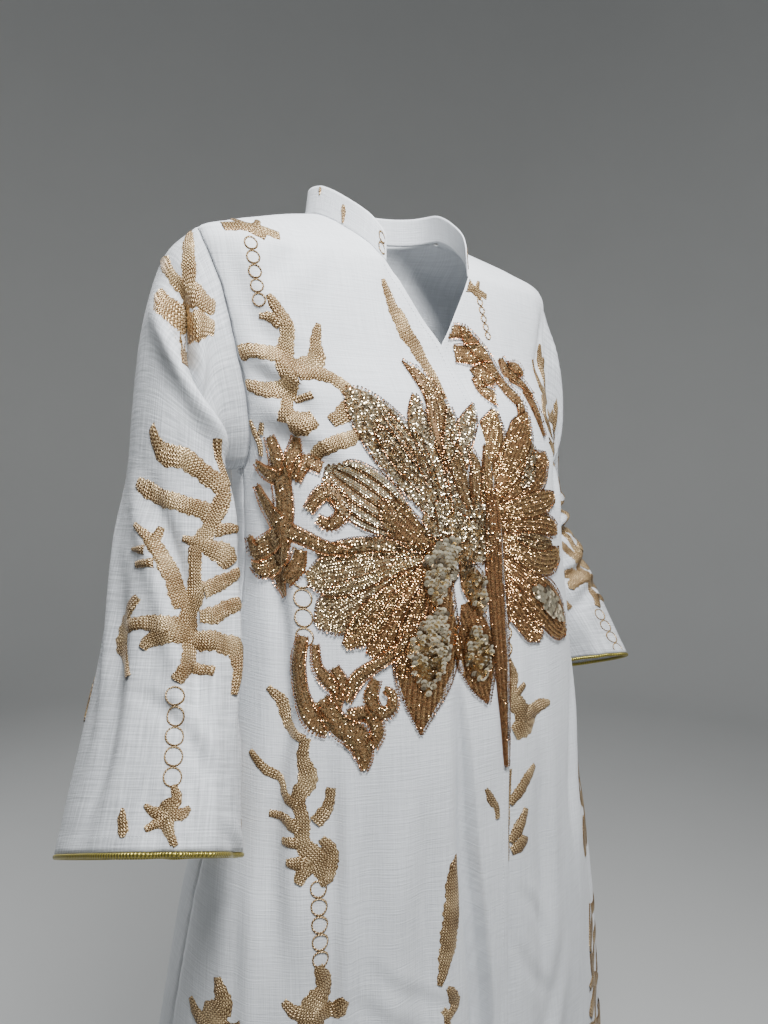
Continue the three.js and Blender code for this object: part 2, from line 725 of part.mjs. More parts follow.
/** The neckline from the right front's corner round the back to the left front's corner. */
function necklinePoints() {
  const rowCount = neckRows.length; // the neckline's rows are the first of each front
  const right = frontRightGrid.slice(0, rowCount).map((row) => row.at(-1)).reverse();
  const left = frontLeftGrid.slice(0, rowCount).map((row) => row[0]);
  const back = [...backPanelGrid[0]].reverse();
  return [...right, ...back, ...left];
}

const collarRise = [0, 0.5, 1];
const neckMiddle = new THREE.Vector3(0, -12, 0);
const collarGrid = collarRise.map((rise) =>
  necklinePoints().map((foot) => {
    const inward = neckMiddle.clone().sub(foot).setZ(0).normalize();
    const point = foot.clone().addScaledVector(inward, collarLean * rise);
    point.z += wall / 2 + seamGap + collarClearance + collarHeight * rise;
    return point;
  }),
);
add("collar", clothInStretches(collarGrid.reverse(), [], false)[0], cloth);

export default group;
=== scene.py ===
"""A long white robe with a sequinned flower: its cloth, embroidery and trim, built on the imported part.

Lengths in the tables are millimetres. "down" is the distance below the neck points, and "place" the
distance round a panel from its middle line, growing towards the wearer's left. On a sleeve "down" is
the distance along it from the armhole, and "place" the distance round it from its front line.
"""

import math

import bpy
import numpy as np
from mathutils import Matrix, Vector


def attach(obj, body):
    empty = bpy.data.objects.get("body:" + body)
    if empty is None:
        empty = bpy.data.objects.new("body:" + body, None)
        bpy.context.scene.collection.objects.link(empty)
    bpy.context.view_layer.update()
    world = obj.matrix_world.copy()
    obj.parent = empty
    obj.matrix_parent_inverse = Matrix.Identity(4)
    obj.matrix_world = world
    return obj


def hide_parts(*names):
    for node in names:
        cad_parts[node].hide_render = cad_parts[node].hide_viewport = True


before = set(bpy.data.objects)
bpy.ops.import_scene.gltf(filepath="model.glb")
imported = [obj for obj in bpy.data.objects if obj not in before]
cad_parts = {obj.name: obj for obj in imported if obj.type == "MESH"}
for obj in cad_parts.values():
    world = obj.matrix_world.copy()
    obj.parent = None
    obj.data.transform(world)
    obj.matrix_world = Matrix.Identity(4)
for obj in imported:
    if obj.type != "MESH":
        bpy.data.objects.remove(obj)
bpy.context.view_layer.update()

bl_info = {
    "name": "Jalabiya",
    "version": (1, 0, 0),
    "blender": (4, 5, 0),
    "location": "3D View > Sidebar > Jalabiya",
    "description": "Builds a long robe with a sequinned flower, piece by piece",
    "category": "Add Mesh",
}

MM = 0.001
HEM = 1430.0
WALL = 1.5
SECTION_POWER = 2.25
SHOULDER_TIP = 42.0
UNDERARM = 237.0
ARMHOLE_REACH = {"front": 28.0, "back": 46.0}
COLLAR_HEIGHT = 27.0
COLLAR_LEAN = 3.0
UNDERLAP = 4.0
SLIT_FOOT = 128.0

# down, half width, front, back, sway, lean
BODY = np.array([
    (0, 74, 14, 50, 0, 0), (10, 110, 27, 62, 0, -6), (20, 143, 36, 73, 0, -12),
    (30, 172, 44, 83, 0, -18), (42, 200, 50, 92, 0, -25), (54, 203, 59, 96, 0, -26),
    (100, 197, 70, 104, 1, -27), (135, 191, 79, 106, 4, -27), (180, 183, 98, 106, 12, -28),
    (240, 177, 113, 103, 19, -29), (310, 177, 124, 100, 21, -30), (390, 186, 131, 105, 22, -30),
    (490, 200, 136, 119, 23, -30), (550, 209, 137, 128, 23, -30), (610, 226, 138, 139, 24, -30),
    (810, 262, 146, 168, 26, -30), (1110, 302, 168, 206, 28, -30), (1430, 340, 194, 240, 28, -30),
], float)

# down, right edge, left edge: sideways from the section's centre
EDGES = np.array([
    (0, -74, 74), (10, -71, 71), (20, -67, 67), (30, -62, 62), (42, -55, 55), (54, -48, 48),
    (75, -36, 34), (100, -20, 17), (128, -3, -2), (160, 5, -12), (210, 9, -18), (300, 12, -18),
    (430, 14, -16), (1430, 14, -16),
], float)

# down, place, depth, width of the pleat beside the opening
PLEAT = np.array([
    (415, -46, 1, 10), (480, -38, 6, 12), (560, -30, 10, 15), (730, -12, 13, 18),
    (1000, -6, 16, 24), (1430, -6, 19, 30),
], float)

# from, top, foot, width, depth of the folds that run down the skirt
FOLDS = {
    "front": [
        (500, -150, -176, 40, 20), (640, -225, -330, 60, 24), (600, 105, 150, 52, 20),
        (700, 205, 300, 60, 26),
    ],
    "back": [
        (420, -205, -345, 66, 28), (330, -95, -165, 56, 26), (480, 10, 20, 60, 22),
        (360, 110, 190, 58, 26), (460, 215, 350, 64, 26),
    ],
}

# Creases: place and down of one end, then of the other, bow, width, depth
CREASES = {
    "front_right": [
        (-212, 150, -150, 196, 8, 13, 3.0), (-208, 200, -128, 262, 10, 15, 2.6),
        (-196, 60, -150, 150, -9, 16, 2.4), (-120, 30, -176, 92, 6, 14, 2.0),
        (-214, 262, -196, 470, 7, 13, 3.4), (-190, 400, -204, 640, -8, 14, 3.6),
        (-156, 470, -170, 760, 6, 9, 3.2), (-118, 500, -128, 900, -9, 18, 3.6),
        (-76, 520, -92, 820, 6, 15, 2.6), (-92, 690, -70, 980, -8, 20, 4.0),
        (-132, 640, -40, 700, -7, 8, 0.8), (-150, 668, -66, 742, 6, 9, 0.8),
        (-120, 800, -44, 880, 9, 12, 2.2), (-210, 840, -120, 950, -10, 15, 2.8),
        (-220, 1010, -60, 1120, 14, 18, 3.0), (-70, 1080, -250, 1250, 12, 18, 3.0),
        (-30, 1180, -60, 1420, 5, 16, 3.6), (-120, 1100, -130, 1425, -8, 20, 5.0),
        (-210, 1150, -226, 1425, 6, 18, 4.2), (-290, 1180, -300, 1425, -5, 15, 3.6),
        (-60, 160, -20, 330, 6, 20, 1.2), (-240, 560, -262, 800, 7, 12, 2.4),
    ],
    "front_left": [
        (205, 150, 150, 200, -8, 13, 2.8), (200, 205, 118, 268, -9, 15, 2.6),
        (186, 62, 138, 140, 8, 15, 2.2), (206, 262, 186, 470, -6, 13, 3.2),
        (30, 620, 74, 686, 6, 8, 0.8), (24, 664, 84, 742, -6, 9, 0.9),
        (60, 480, 66, 800, 7, 15, 3.0), (150, 430, 140, 640, -7, 13, 3.0),
        (196, 500, 214, 760, 6, 13, 3.0), (96, 700, 40, 850, 8, 16, 2.8),
        (120, 820, 196, 930, -9, 15, 2.8), (54, 900, 66, 1180, -7, 18, 4.4),
        (236, 900, 120, 1060, 12, 18, 3.0), (90, 1120, 104, 1425, 6, 18, 4.6),
        (190, 1140, 206, 1425, -8, 19, 4.6), (280, 1120, 300, 1425, 5, 16, 3.8),
        (40, 1240, 160, 1330, 9, 15, 2.6), (30, 330, 60, 470, 5, 15, 1.6),
    ],
    "back": [
        (-150, 60, -60, 120, 9, 18, 2.6), (140, 66, 70, 132, -9, 18, 2.6),
        (-190, 190, -110, 250, 10, 15, 3.0), (186, 196, 104, 262, -10, 15, 3.0),
        (-40, 30, 42, 34, -10, 14, 2.2), (-190, 270, -178, 520, -8, 14, 3.6),
        (184, 280, 170, 540, 8, 14, 3.6), (-60, 300, -40, 620, 9, 18, 3.4),
        (60, 320, 44, 700, -8, 18, 3.4), (-140, 520, -90, 650, 8, 13, 2.6),
        (150, 560, 70, 660, -8, 13, 2.4), (-240, 620, -190, 900, -9, 16, 3.6),
        (-50, 760, -60, 1100, 8, 18, 4.4), (70, 800, 90, 1200, -8, 18, 4.6),
        (250, 640, 230, 900, 8, 16, 3.6), (-200, 960, -40, 1090, 12, 18, 3.0),
        (210, 1000, 60, 1130, -12, 18, 3.0), (-260, 1120, -250, 1425, 7, 18, 4.6),
        (-100, 1130, -110, 1425, -7, 18, 5.0), (-20, 1200, -30, 1425, 5, 15, 4.0),
        (120, 1160, 130, 1425, 7, 18, 5.0), (300, 1120, 290, 1425, -7, 18, 4.6),
    ],
    "sleeve_right": [
        (74, 128, -84, 38, -17, 13, 14.0), (52, 330, 12, 60, -12, 13, 7.0),
        (46, 190, 8, 36, -6, 22, 12.0),
        (0, 330, -56, 130, -8, 14, 5.0), (50, 90, 66, 330, 7, 10, 6.0),
        (-84, 200, -110, 420, 12, 14, 3.6), (-10, 250, -2, 470, -7, 14, 3.0),
        (-60, 300, 10, 380, 7, 10, 1.8), (-130, 120, -120, 330, 6, 13, 3.4),
        (84, 240, 96, 470, -6, 14, 3.4), (-40, 380, -50, 480, 6, 14, 2.6),
        (140, 60, 120, 300, 8, 15, 3.6), (-190, 60, -180, 320, -8, 15, 3.6),
        (200, 200, 190, 450, 7, 15, 3.6), (20, 410, 90, 452, 6, 9, 1.8),
    ],
    "sleeve_left": [
        (-70, 10, 20, 150, 10, 11, 4.6), (-36, 24, 40, 240, 12, 12, 4.0),
        (-60, 180, 60, 214, 10, 10, 4.6), (-66, 206, 66, 246, 10, 11, 5.0),
        (-70, 236, 56, 284, -9, 10, 4.2), (-50, 290, 40, 330, 8, 11, 3.0),
        (-100, 40, -90, 190, -8, 14, 3.4), (-120, 220, -110, 400, 7, 13, 3.4),
        (100, 60, 112, 210, 8, 13, 3.4), (130, 240, 120, 400, -7, 14, 3.4),
        (170, 80, 160, 300, 8, 14, 3.4), (-170, 60, -176, 300, 8, 14, 3.4),
        (10, 330, 20, 440, 5, 12, 2.6),
    ],
}

# over the arm: out, down; under it: out, down; y, half depth, turn
SLEEVES = {
    "sleeve_right": [
        (222, 66, 181, 239, -19, 42, 0), (238, 118, 179, 243, -21, 49, 0),
        (247, 183, 178, 249, -24, 54, 0), (254, 250, 177, 262, -27, 58, 2),
        (266, 315, 177, 322, -32, 69, 6), (279, 382, 180, 394, -41, 79, 11),
        (299, 450, 187, 474, -56, 94, 18), (320, 514, 197, 550, -74, 106, 24),
    ],
    "sleeve_left": [
        (222, 64, 205, 238, -13, 42, 0), (239, 112, 207, 242, -2, 50, 0),
        (252, 177, 208, 250, 12, 56, 0), (272, 245, 209, 262, 27, 60, 0),
        (303, 304, 212, 322, 38, 68, 6), (324, 362, 222, 368, 26, 72, 14),
        (333, 418, 240, 416, -4, 66, 18), (338, 472, 260, 462, -36, 60, 20),
    ],
}
DIRECTION = {"sleeve_right": -1.0, "sleeve_left": 1.0}

# ring, angle, depth, width of the drape fold at the front of each sleeve
SLEEVE_FOLD = np.array([
    (0.5, 25, 0, 18), (1, 44, 5, 22), (2, 66, 8, 24), (3, 84, 7, 24), (4, 96, 3, 24),
    (5, 104, 0, 24),
], float)

PANELS = ("front_right", "front_left", "back")


# Smooth tables

def cubic(start, rise, a, b, t):
    """The cubic that goes from start by rise while t goes from 0 to 1, with the end slopes a and b."""
    return start + t * (a + t * (3 * rise - 2 * a - b + t * (a + b - 2 * rise)))


def smooth_column(rows, column):
    """A column as a smooth function of the first one: cubics between the rows, with no overshoot,
    whose slope at a row is the harmonic mean of the slopes on its two sides, or 0 at a turn."""
    at, value = rows[:, 0], rows[:, column]
    span = np.diff(at)
    slope = np.diff(value) / span
    product, total = slope[:-1] * slope[1:], slope[:-1] + slope[1:]
    inner = np.where(product > 0, 2 * product / np.where(total == 0, 1, total), 0)
    tangent = np.concatenate([slope[:1], inner, slope[-1:]])

    def evaluate(x):
        x = np.asarray(x, float)
        i = np.clip(np.searchsorted(at, x, side="right") - 1, 0, len(at) - 2)
        t = np.clip((x - at[i]) / span[i], 0, 1)
        rise = value[i + 1] - value[i]
        a, b = tangent[i] * span[i], tangent[i + 1] * span[i]
        return cubic(value[i], rise, a, b, t)

    return evaluate


def ramp(x, low, high):
    """0 up to low, 1 past high, and a soft rise between them."""
    t = np.clip((np.asarray(x, float) - low) / (high - low), 0, 1)
    return t * t * (3 - 2 * t)


def lookup(table, row, column):
    """A table's value between its rows and columns, by bilinear interpolation."""
    row = np.clip(row, 0, table.shape[0] - 1.000001)
    column = np.clip(column, 0, table.shape[1] - 1.000001)
    r, c = row.astype(int), column.astype(int)
    u, v = row - r, column - c
    if table.ndim == 3:
        u, v = u[..., None], v[..., None]
    upper = table[r, c] * (1 - v) + table[r, c + 1] * v
    lower = table[r + 1, c] * (1 - v) + table[r + 1, c + 1] * v
    return upper * (1 - u) + lower * u


half_width, front_reach, back_reach, sway, lean = [smooth_column(BODY, k) for k in range(1, 6)]
REACH = {"front": front_reach, "back": back_reach}
right_edge, left_edge = smooth_column(EDGES, 1), smooth_column(EDGES, 2)
pleat_place, pleat_depth, pleat_width = [smooth_column(PLEAT, k) for k in (1, 2, 3)]
fold_angle, fold_press, fold_width = [smooth_column(SLEEVE_FOLD, k) for k in (1, 2, 3)]


# Body surface

def section_point(side, down, angle):
    """A point of a body section, a rounded box: the cosine and sine of the angle, each to the power
    2 / 2.25, times the half width and the reach, about the section's centre."""
    power = 2 / SECTION_POWER
    down, angle = np.broadcast_arrays(np.asarray(down, float), angle)
    across = np.sign(np.cos(angle)) * np.abs(np.cos(angle)) ** power
    along = np.abs(np.sin(angle)) ** power
    y = lean(down) + (-1 if side == "front" else 1) * REACH[side](down) * along
    return np.stack([sway(down) + half_width(down) * across, y, -down], -1)


ROW_STEP = 5.0
HALF_STEPS = 180
DOWNS = np.arange(0, HEM + 1, ROW_STEP)
TURNS = np.linspace(0, math.pi, 2 * HALF_STEPS + 1)


def arc_tables(side):
    """Tables of a side's sections, a row for each height: the place at each angle, the angle at each
    even share of the way round, and the length from the middle line to the side."""
    points = section_point(side, DOWNS[:, None], TURNS[None, :])
    steps = np.linalg.norm(np.diff(points, axis=1), axis=-1)
    arc = np.concatenate([np.zeros((len(DOWNS), 1)), np.cumsum(steps, axis=1)], 1)
    half_arc = arc[:, HALF_STEPS]
    places = half_arc[:, None] - arc
    even = np.linspace(-1, 1, 2 * HALF_STEPS + 1)
    angles = [np.interp(even, row[::-1] / half, TURNS[::-1]) for row, half in zip(places, half_arc)]
    return places, np.stack(angles), half_arc


PLACE_TABLE, ANGLE_TABLE, HALF_ARC = [
    dict(zip(("front", "back"), tables)) for tables in zip(arc_tables("front"), arc_tables("back"))
]


def place_of_angle(side, down, angle):
    """The distance round from the middle line to a point of the section."""
    return lookup(PLACE_TABLE[side], down / ROW_STEP, angle / math.pi * 2 * HALF_STEPS)


def body_base(side, place, down):
    """The body's own surface: the section's angle is read from the table of arc lengths."""
    place, down = np.broadcast_arrays(np.asarray(place, float), np.asarray(down, float))
    share = place / np.interp(down, DOWNS, HALF_ARC[side])
    angle = lookup(ANGLE_TABLE[side], down / ROW_STEP, (share + 1) * HALF_STEPS)
    return section_point(side, down, angle)


def armhole_width(side, down):
    """Half an ellipse: the armhole's reach from the side line, from shoulder tip to underarm."""
    middle, half = (SHOULDER_TIP + UNDERARM) / 2, (UNDERARM - SHOULDER_TIP) / 2
    return ARMHOLE_REACH[side] * np.sqrt(np.clip(1 - ((down - middle) / half) ** 2, 0, 1))


def seam_place(side, down, left):
    """Where a section ends at the shoulder seam, the armhole or the side seam."""
    share = np.clip(armhole_width(side, down) / REACH[side](down), 0, 1)
    angle = np.arcsin(share ** (SECTION_POWER / 2))
    return place_of_angle(side, down, angle if left else math.pi - angle)


def edge_place(down, left):
    """Where a front ends at the neckline, the slit or the opening."""
    sideways = (left_edge if left else right_edge)(down) / half_width(down)
    across = np.sign(sideways) * np.abs(np.clip(sideways, -1, 1)) ** (SECTION_POWER / 2)
    return place_of_angle("front", down, np.arccos(across))


def limits(panel, down):
    """The lowest and highest place of a panel at each height."""
    down = np.asarray(down, float)
    if panel == "front_right":
        return seam_place("front", down, False), edge_place(down, False)
    if panel == "front_left":
        return edge_place(down, True), seam_place("front", down, True)
    return seam_place("back", down, False), seam_place("back", down, True)


# Sleeve surface

def sleeve_ring(panel, ring, angle):
    """Ring 0 is the armhole's edge; every other ring is an ellipse between the points over and
    under the arm, its depth turned up towards the front."""
    direction = DIRECTION[panel]
    if ring == 0:
        middle, half = (SHOULDER_TIP + UNDERARM) / 2, (UNDERARM - SHOULDER_TIP) / 2
        down = middle - half * np.cos(angle)
        front = np.sin(angle) >= 0
        reach = np.where(front, ARMHOLE_REACH["front"], ARMHOLE_REACH["back"])
        off = reach * np.abs(np.sin(angle))
        body = np.where(front, front_reach(down), back_reach(down))
        sine = np.clip(off / body, 0, 1) ** (SECTION_POWER / 2)
        across = np.sqrt(1 - sine**2) ** (2 / SECTION_POWER)
        x = sway(down) + direction * (half_width(down) * across + 0.5)
        return np.stack([x, lean(down) + np.where(front, -off, off), -down], -1)
    over_out, over_down, under_out, under_down, y, depth, turn = SLEEVES[panel][ring - 1]
    over = np.array([direction * over_out, y, -over_down], float)
    under = np.array([direction * under_out, y, -under_down], float)
    turn = math.radians(turn)
    forward = depth * np.array([0, -math.cos(turn), math.sin(turn)])
    cosine, sine = np.cos(angle)[:, None], np.sin(angle)[:, None]
    return (over + under) / 2 + (over - under) / 2 * cosine + forward * sine


RINGS_PER_ROW = 16
SLEEVE_STEPS = 360
SLEEVE_TURNS = np.linspace(0, 2 * math.pi, SLEEVE_STEPS + 1)


def sleeve_tables(panel):
    """A sleeve's points on fine rings, by cubics between its rings whose slope at a ring is that
    between its neighbours, with each fine ring's distance from the armhole and mean radius."""
    last = len(SLEEVES[panel])
    rings = np.stack([sleeve_ring(panel, k, SLEEVE_TURNS).ravel() for k in range(last + 1)])
    slope = np.gradient(rings, axis=0)
    fine = np.arange(0, last + 1e-9, 1 / RINGS_PER_ROW)
    i = np.clip(fine.astype(int), 0, last - 1)
    t = (fine - i)[:, None]
    dense = cubic(rings[i], rings[i + 1] - rings[i], slope[i], slope[i + 1], t)
    dense = dense.reshape(len(fine), SLEEVE_STEPS + 1, 3)
    length = np.linalg.norm(np.diff(dense, axis=0), axis=-1).mean(1)
    radius = np.linalg.norm(np.diff(dense, axis=1), axis=-1).sum(1) / 2 / math.pi
    return dense, np.concatenate([[0], np.cumsum(length)]), radius


SLEEVE_TABLE, SLEEVE_ALONG, SLEEVE_RADIUS = [
    dict(zip(SLEEVES, tables)) for tables in zip(*map(sleeve_tables, SLEEVES))
]


def sleeve_parameters(panel, place, down):
    """The ring, counted in fine rings, and the angle of a place and a distance along a sleeve."""
    place, down = np.broadcast_arrays(np.asarray(place, float), np.asarray(down, float))
    along = SLEEVE_ALONG[panel]
    ring = np.interp(down, along, np.arange(len(along)))
    radius = np.interp(ring, np.arange(len(along)), SLEEVE_RADIUS[panel])
    return ring, math.pi / 2 + place / radius


def sleeve_base(panel, place, down):
    """The sleeve's own surface: cubic curves through its rings at each angle."""
    ring, angle = sleeve_parameters(panel, place, down)
    turn = np.mod(angle, 2 * math.pi) / (2 * math.pi) * SLEEVE_STEPS
    return lookup(SLEEVE_TABLE[panel], ring, turn)


# Cloth

def crease_depth(rows, place, down):
    """Each crease lies along a line with a bow: a trough, with a lower ridge beside it, that fades
    out at both ends."""
    total = np.zeros(np.broadcast(place, down).shape)
    for place_0, down_0, place_1, down_1, bow, width, depth in rows:
        run = math.hypot(place_1 - place_0, down_1 - down_0)
        x, y = (place_1 - place_0) / run, (down_1 - down_0) / run
        along = ((place - place_0) * x + (down - down_0) * y) / run
        off = (place - place_0) * y - (down - down_0) * x - 4 * bow * along * (1 - along)
        fade = ramp(along, -0.12, 0.3) * (1 - ramp(along, 0.7, 1.12))
        trough = np.exp(-2 * (off / width) ** 2)
        ridge = np.exp(-2 * (off / width - 1.35) ** 2)
        total += 1.5 * depth * fade * (trough - 0.6 * ridge)
    return total


def fold_depth(side, place, down):
    """Each skirt fold is a soft trough that grows and widens from its start to the hem."""
    total = np.zeros(np.broadcast(place, down).shape)
    for start, top, foot, width, depth in FOLDS[side]:
        growth = ramp(down, start, 0.8 * HEM)
        middle = top + (foot - top) * np.maximum(0, (down - start) / (HEM - start))
        wide = width * (0.6 + 0.4 * growth)
        total += depth * growth * np.exp(-2 * ((place - middle) / wide) ** 2)
    return total


def unevenness(place, down, grow):
    """Slow waves of three sizes, so that no stretch of cloth lies quite flat."""
    slow = np.sin(place / 31 + 1.7 * np.sin(down / 83)) * np.sin(down / 57 + place / 140)
    middle = np.sin(place / 15 - down / 66 + 1.1 * np.sin(down / 38))
    fine = np.sin(place / 7.3 + down / 19 + 2 * np.sin(place / 29))
    return 0.5 * grow * slow + 0.3 * grow * middle + 0.1 * fine


def pleat_shape(place, down):
    """A knife pleat: a slow fall to its foot, a narrow slot there, then a steep rise to the fold's
    edge."""
    off = (place - pleat_place(down)) / pleat_width(down)
    slot = 5.0 * np.exp(-((off - 0.38) / 0.16) ** 2) * ramp(down, 400, 470)
    edge = 1.2 * np.exp(-((off - 0.78) / 0.16) ** 2)
    fall = ramp(off, -1.3, 0.1) * (1 - ramp(off, 0.38, 0.58))
    return 1.75 * pleat_depth(down) * fall + slot - edge * ramp(down, 415, 560)


def seam_pull(distance, along):
    """Cloth drawn in at a seam, with small puckers that fade away from it."""
    pucker = 0.5 * np.sin(along / 3.1 + 2 * np.sin(along / 17))
    return np.exp(-((distance / 3.5) ** 2)) * 0.9 + np.exp(-((distance / 9) ** 2)) * 0.5 * pucker


def depth_of(panel, place, down):
    """How far a panel lies inside its own smooth surface."""
    if panel == "collar":
        return WALL / 2 + 0 * place
    if panel.startswith("sleeve"):
        ring, angle = sleeve_parameters(panel, place, down)
        ring = ring / RINGS_PER_ROW
        degrees = np.degrees(np.mod(angle, 2 * math.pi))
        off = (degrees - fold_angle(ring)) / fold_width(ring)
        depth = np.where(ring > 0.5, fold_press(ring), 0) * np.exp(-2 * off**2)
        wrapped = (angle - math.pi / 2 + math.pi) % (2 * math.pi) - math.pi
        round_place = wrapped * np.interp(down, SLEEVE_ALONG[panel], SLEEVE_RADIUS[panel])
        depth = depth + crease_depth(CREASES[panel], round_place, down)
        settle = ramp(down, 0, 26)
        depth = settle * (depth + unevenness(6 * np.sin(angle) * 9, down, 1.4))
        return depth + seam_pull(down, place)
    side = "back" if panel == "back" else "front"
    low, high = limits(panel, down)
    depth = fold_depth(side, place, down) + crease_depth(CREASES[panel], place, down)
    depth = depth + unevenness(place, down, 0.5 + down / 900)
    if side == "front":
        depth = depth + pleat_shape(place, down)
    under = ramp(down, SLIT_FOOT - 28, SLIT_FOOT)
    if panel == "front_left":
        past = place - right_edge(down)
        depth = depth + UNDERLAP * under * (1 - ramp(past, 3, 22))
    if panel == "front_right":
        back_from_edge = high - place
        lifted = 1.3 * (1 - ramp(back_from_edge, 0, 40)) + 0.4 * (1 - ramp(back_from_edge, 5.5, 7.5))
        depth = depth - lifted * under
    side_low = high - place if panel == "front_left" else place - low
    seam = np.minimum(place - low, high - place) if panel == "back" else side_low
    settle = 0.25 + 0.75 * ramp(seam, 0, 24)
    skirt = ramp(down, 300, 420)
    return depth * (settle + (1 - settle) * skirt) + seam_pull(seam, down)


def base_of(panel, place, down):
    """A panel's own smooth surface; the collar's "down" is counted up from its foot."""
    if panel == "collar":
        column = np.interp(place, COLLAR_ALONG, np.arange(len(COLLAR_ALONG)))
        row = down / COLLAR_HEIGHT * (len(COLLAR_GRID) - 1)
        return lookup(COLLAR_GRID, *np.broadcast_arrays(row, column))
    if panel.startswith("sleeve"):
        return sleeve_base(panel, place, down)
    return body_base("back" if panel == "back" else "front", place, np.clip(down, 0, HEM))


def unit(vectors):
    """The vectors at length 1."""
    return vectors / np.maximum(np.linalg.norm(vectors, axis=-1, keepdims=True), 1e-9)


def outward(panel, place, down, surface, step):
    """The outward normal of a surface, from the steps across and down it."""
    across = surface(panel, place + step, down) - surface(panel, place - step, down)
    along = surface(panel, place, down + step) - surface(panel, place, down - step)
    flip = -1 if panel in ("back", "sleeve_left") else 1
    return unit(flip * np.cross(along, across))


def skin(panel, place, down, lift=0.0):
    """A point on a panel: its smooth surface, moved in along the normal by its folds and creases,
    and out by the lift."""
    place, down = np.broadcast_arrays(np.asarray(place, float), np.asarray(down, float))
    normal = outward(panel, place, down, base_of, 2.0)
    moved = WALL / 2 - depth_of(panel, place, down) + lift
    return base_of(panel, place, down) + normal * moved[..., None]


# Meshes

def add_object(name, points, faces, materials, uv=None, fields=None, face_material=None):
    """A new mesh object at the origin from arrays: points in millimetres and lists of faces."""
    mesh = bpy.data.meshes.new(name)
    mesh.vertices.add(len(points))
    mesh.vertices.foreach_set("co", (points * MM).astype(np.float32).ravel())
    blocks = [np.asarray(block, np.int32) for block in faces if len(block)]
    corners = np.concatenate([block.ravel() for block in blocks])
    sizes = np.concatenate([np.full(len(block), block.shape[1]) for block in blocks])
    starts = np.concatenate([[0], np.cumsum(sizes)[:-1]])
    mesh.loops.add(len(corners))
    mesh.loops.foreach_set("vertex_index", corners)
    mesh.polygons.add(len(sizes))
    mesh.polygons.foreach_set("loop_start", starts.astype(np.int32))
    mesh.update(calc_edges=True)
    mesh.polygons.foreach_set("use_smooth", np.ones(len(sizes), bool))
    if uv is not None:
        layer = mesh.uv_layers.new(name="UVMap")
        layer.data.foreach_set("uv", (uv[corners] * MM).astype(np.float32).ravel())
    for field, values in (fields or {}).items():
        attribute = mesh.attributes.new(field, "FLOAT", "POINT")
        attribute.data.foreach_set("value", values.astype(np.float32))
    for material in materials:
        mesh.materials.append(material)
    if face_material is not None:
        mesh.polygons.foreach_set("material_index", np.asarray(face_material, np.int32))
    mesh.update()
    if mesh.validate():
        raise RuntimeError(f"{name} has faces that aren't valid")
    obj = bpy.data.objects.new(name, mesh)
    bpy.context.scene.collection.objects.link(obj)
    return obj


def grid_faces(rows, columns, wraps=False, flip=False, first=0):
    """The quads of a grid of points, stored row after row."""
    r = np.arange(rows - 1)[:, None]
    c = np.arange(columns if wraps else columns - 1)[None, :]
    here, right = r * columns + c, r * columns + (c + 1) % columns
    quads = np.stack([here, here + columns, right + columns, right], -1).reshape(-1, 4) + first
    return quads[:, ::-1] if flip else quads


def joined(parts):
    """Several (points, faces, uv, fields) sets as one."""
    offset = np.cumsum([0] + [len(part[0]) for part in parts])
    points = np.concatenate([part[0] for part in parts])
    faces = np.concatenate([part[1] + start for part, start in zip(parts, offset)])
    uv = np.concatenate([part[2] for part in parts])
    fields = {
        key: np.concatenate([part[3][key] for part in parts]) for key in parts[0][3]
    }
    return points, faces, uv, fields


def thicken(obj, thickness):
    """Gives a sheet its wall, inwards from its face."""
    solid = obj.modifiers.new("wall", "SOLIDIFY")
    solid.thickness = thickness * MM
    solid.offset = -1.0
    solid.use_even_offset = False
    return obj


def finish_piece(obj, slot, *nodes):
    """Lets a piece ride with the garment, in the place of the nodes it stands for, which it hides; its
    slot, the finish, is not used.
    """
    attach(obj, "root")
    if nodes:
        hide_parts(*nodes)
    return obj


# Materials

class Term:
    """A value socket in a Python expression: the operators add Math nodes."""

    def __init__(self, shader, socket):
        self.shader = shader
        self.socket = socket

    def math(self, operation, other=0.0, swap=False):
        pair = [other, self] if swap else [self, other]
        return self.shader.term("ShaderNodeMath", {"operation": operation}, {0: pair[0], 1: pair[1]})

    def __add__(self, other):
        return self.math("ADD", other)

    __radd__ = __add__

    def __sub__(self, other):
        return self.math("SUBTRACT", other)

    def __rsub__(self, other):
        return self.math("SUBTRACT", other, True)

    def __mul__(self, other):
        return self.math("MULTIPLY", other)

    __rmul__ = __mul__

    def clamped(self):
        """The value, kept between 0 and 1."""
        return self.math("MINIMUM", 1.0).math("MAXIMUM", 0.0)


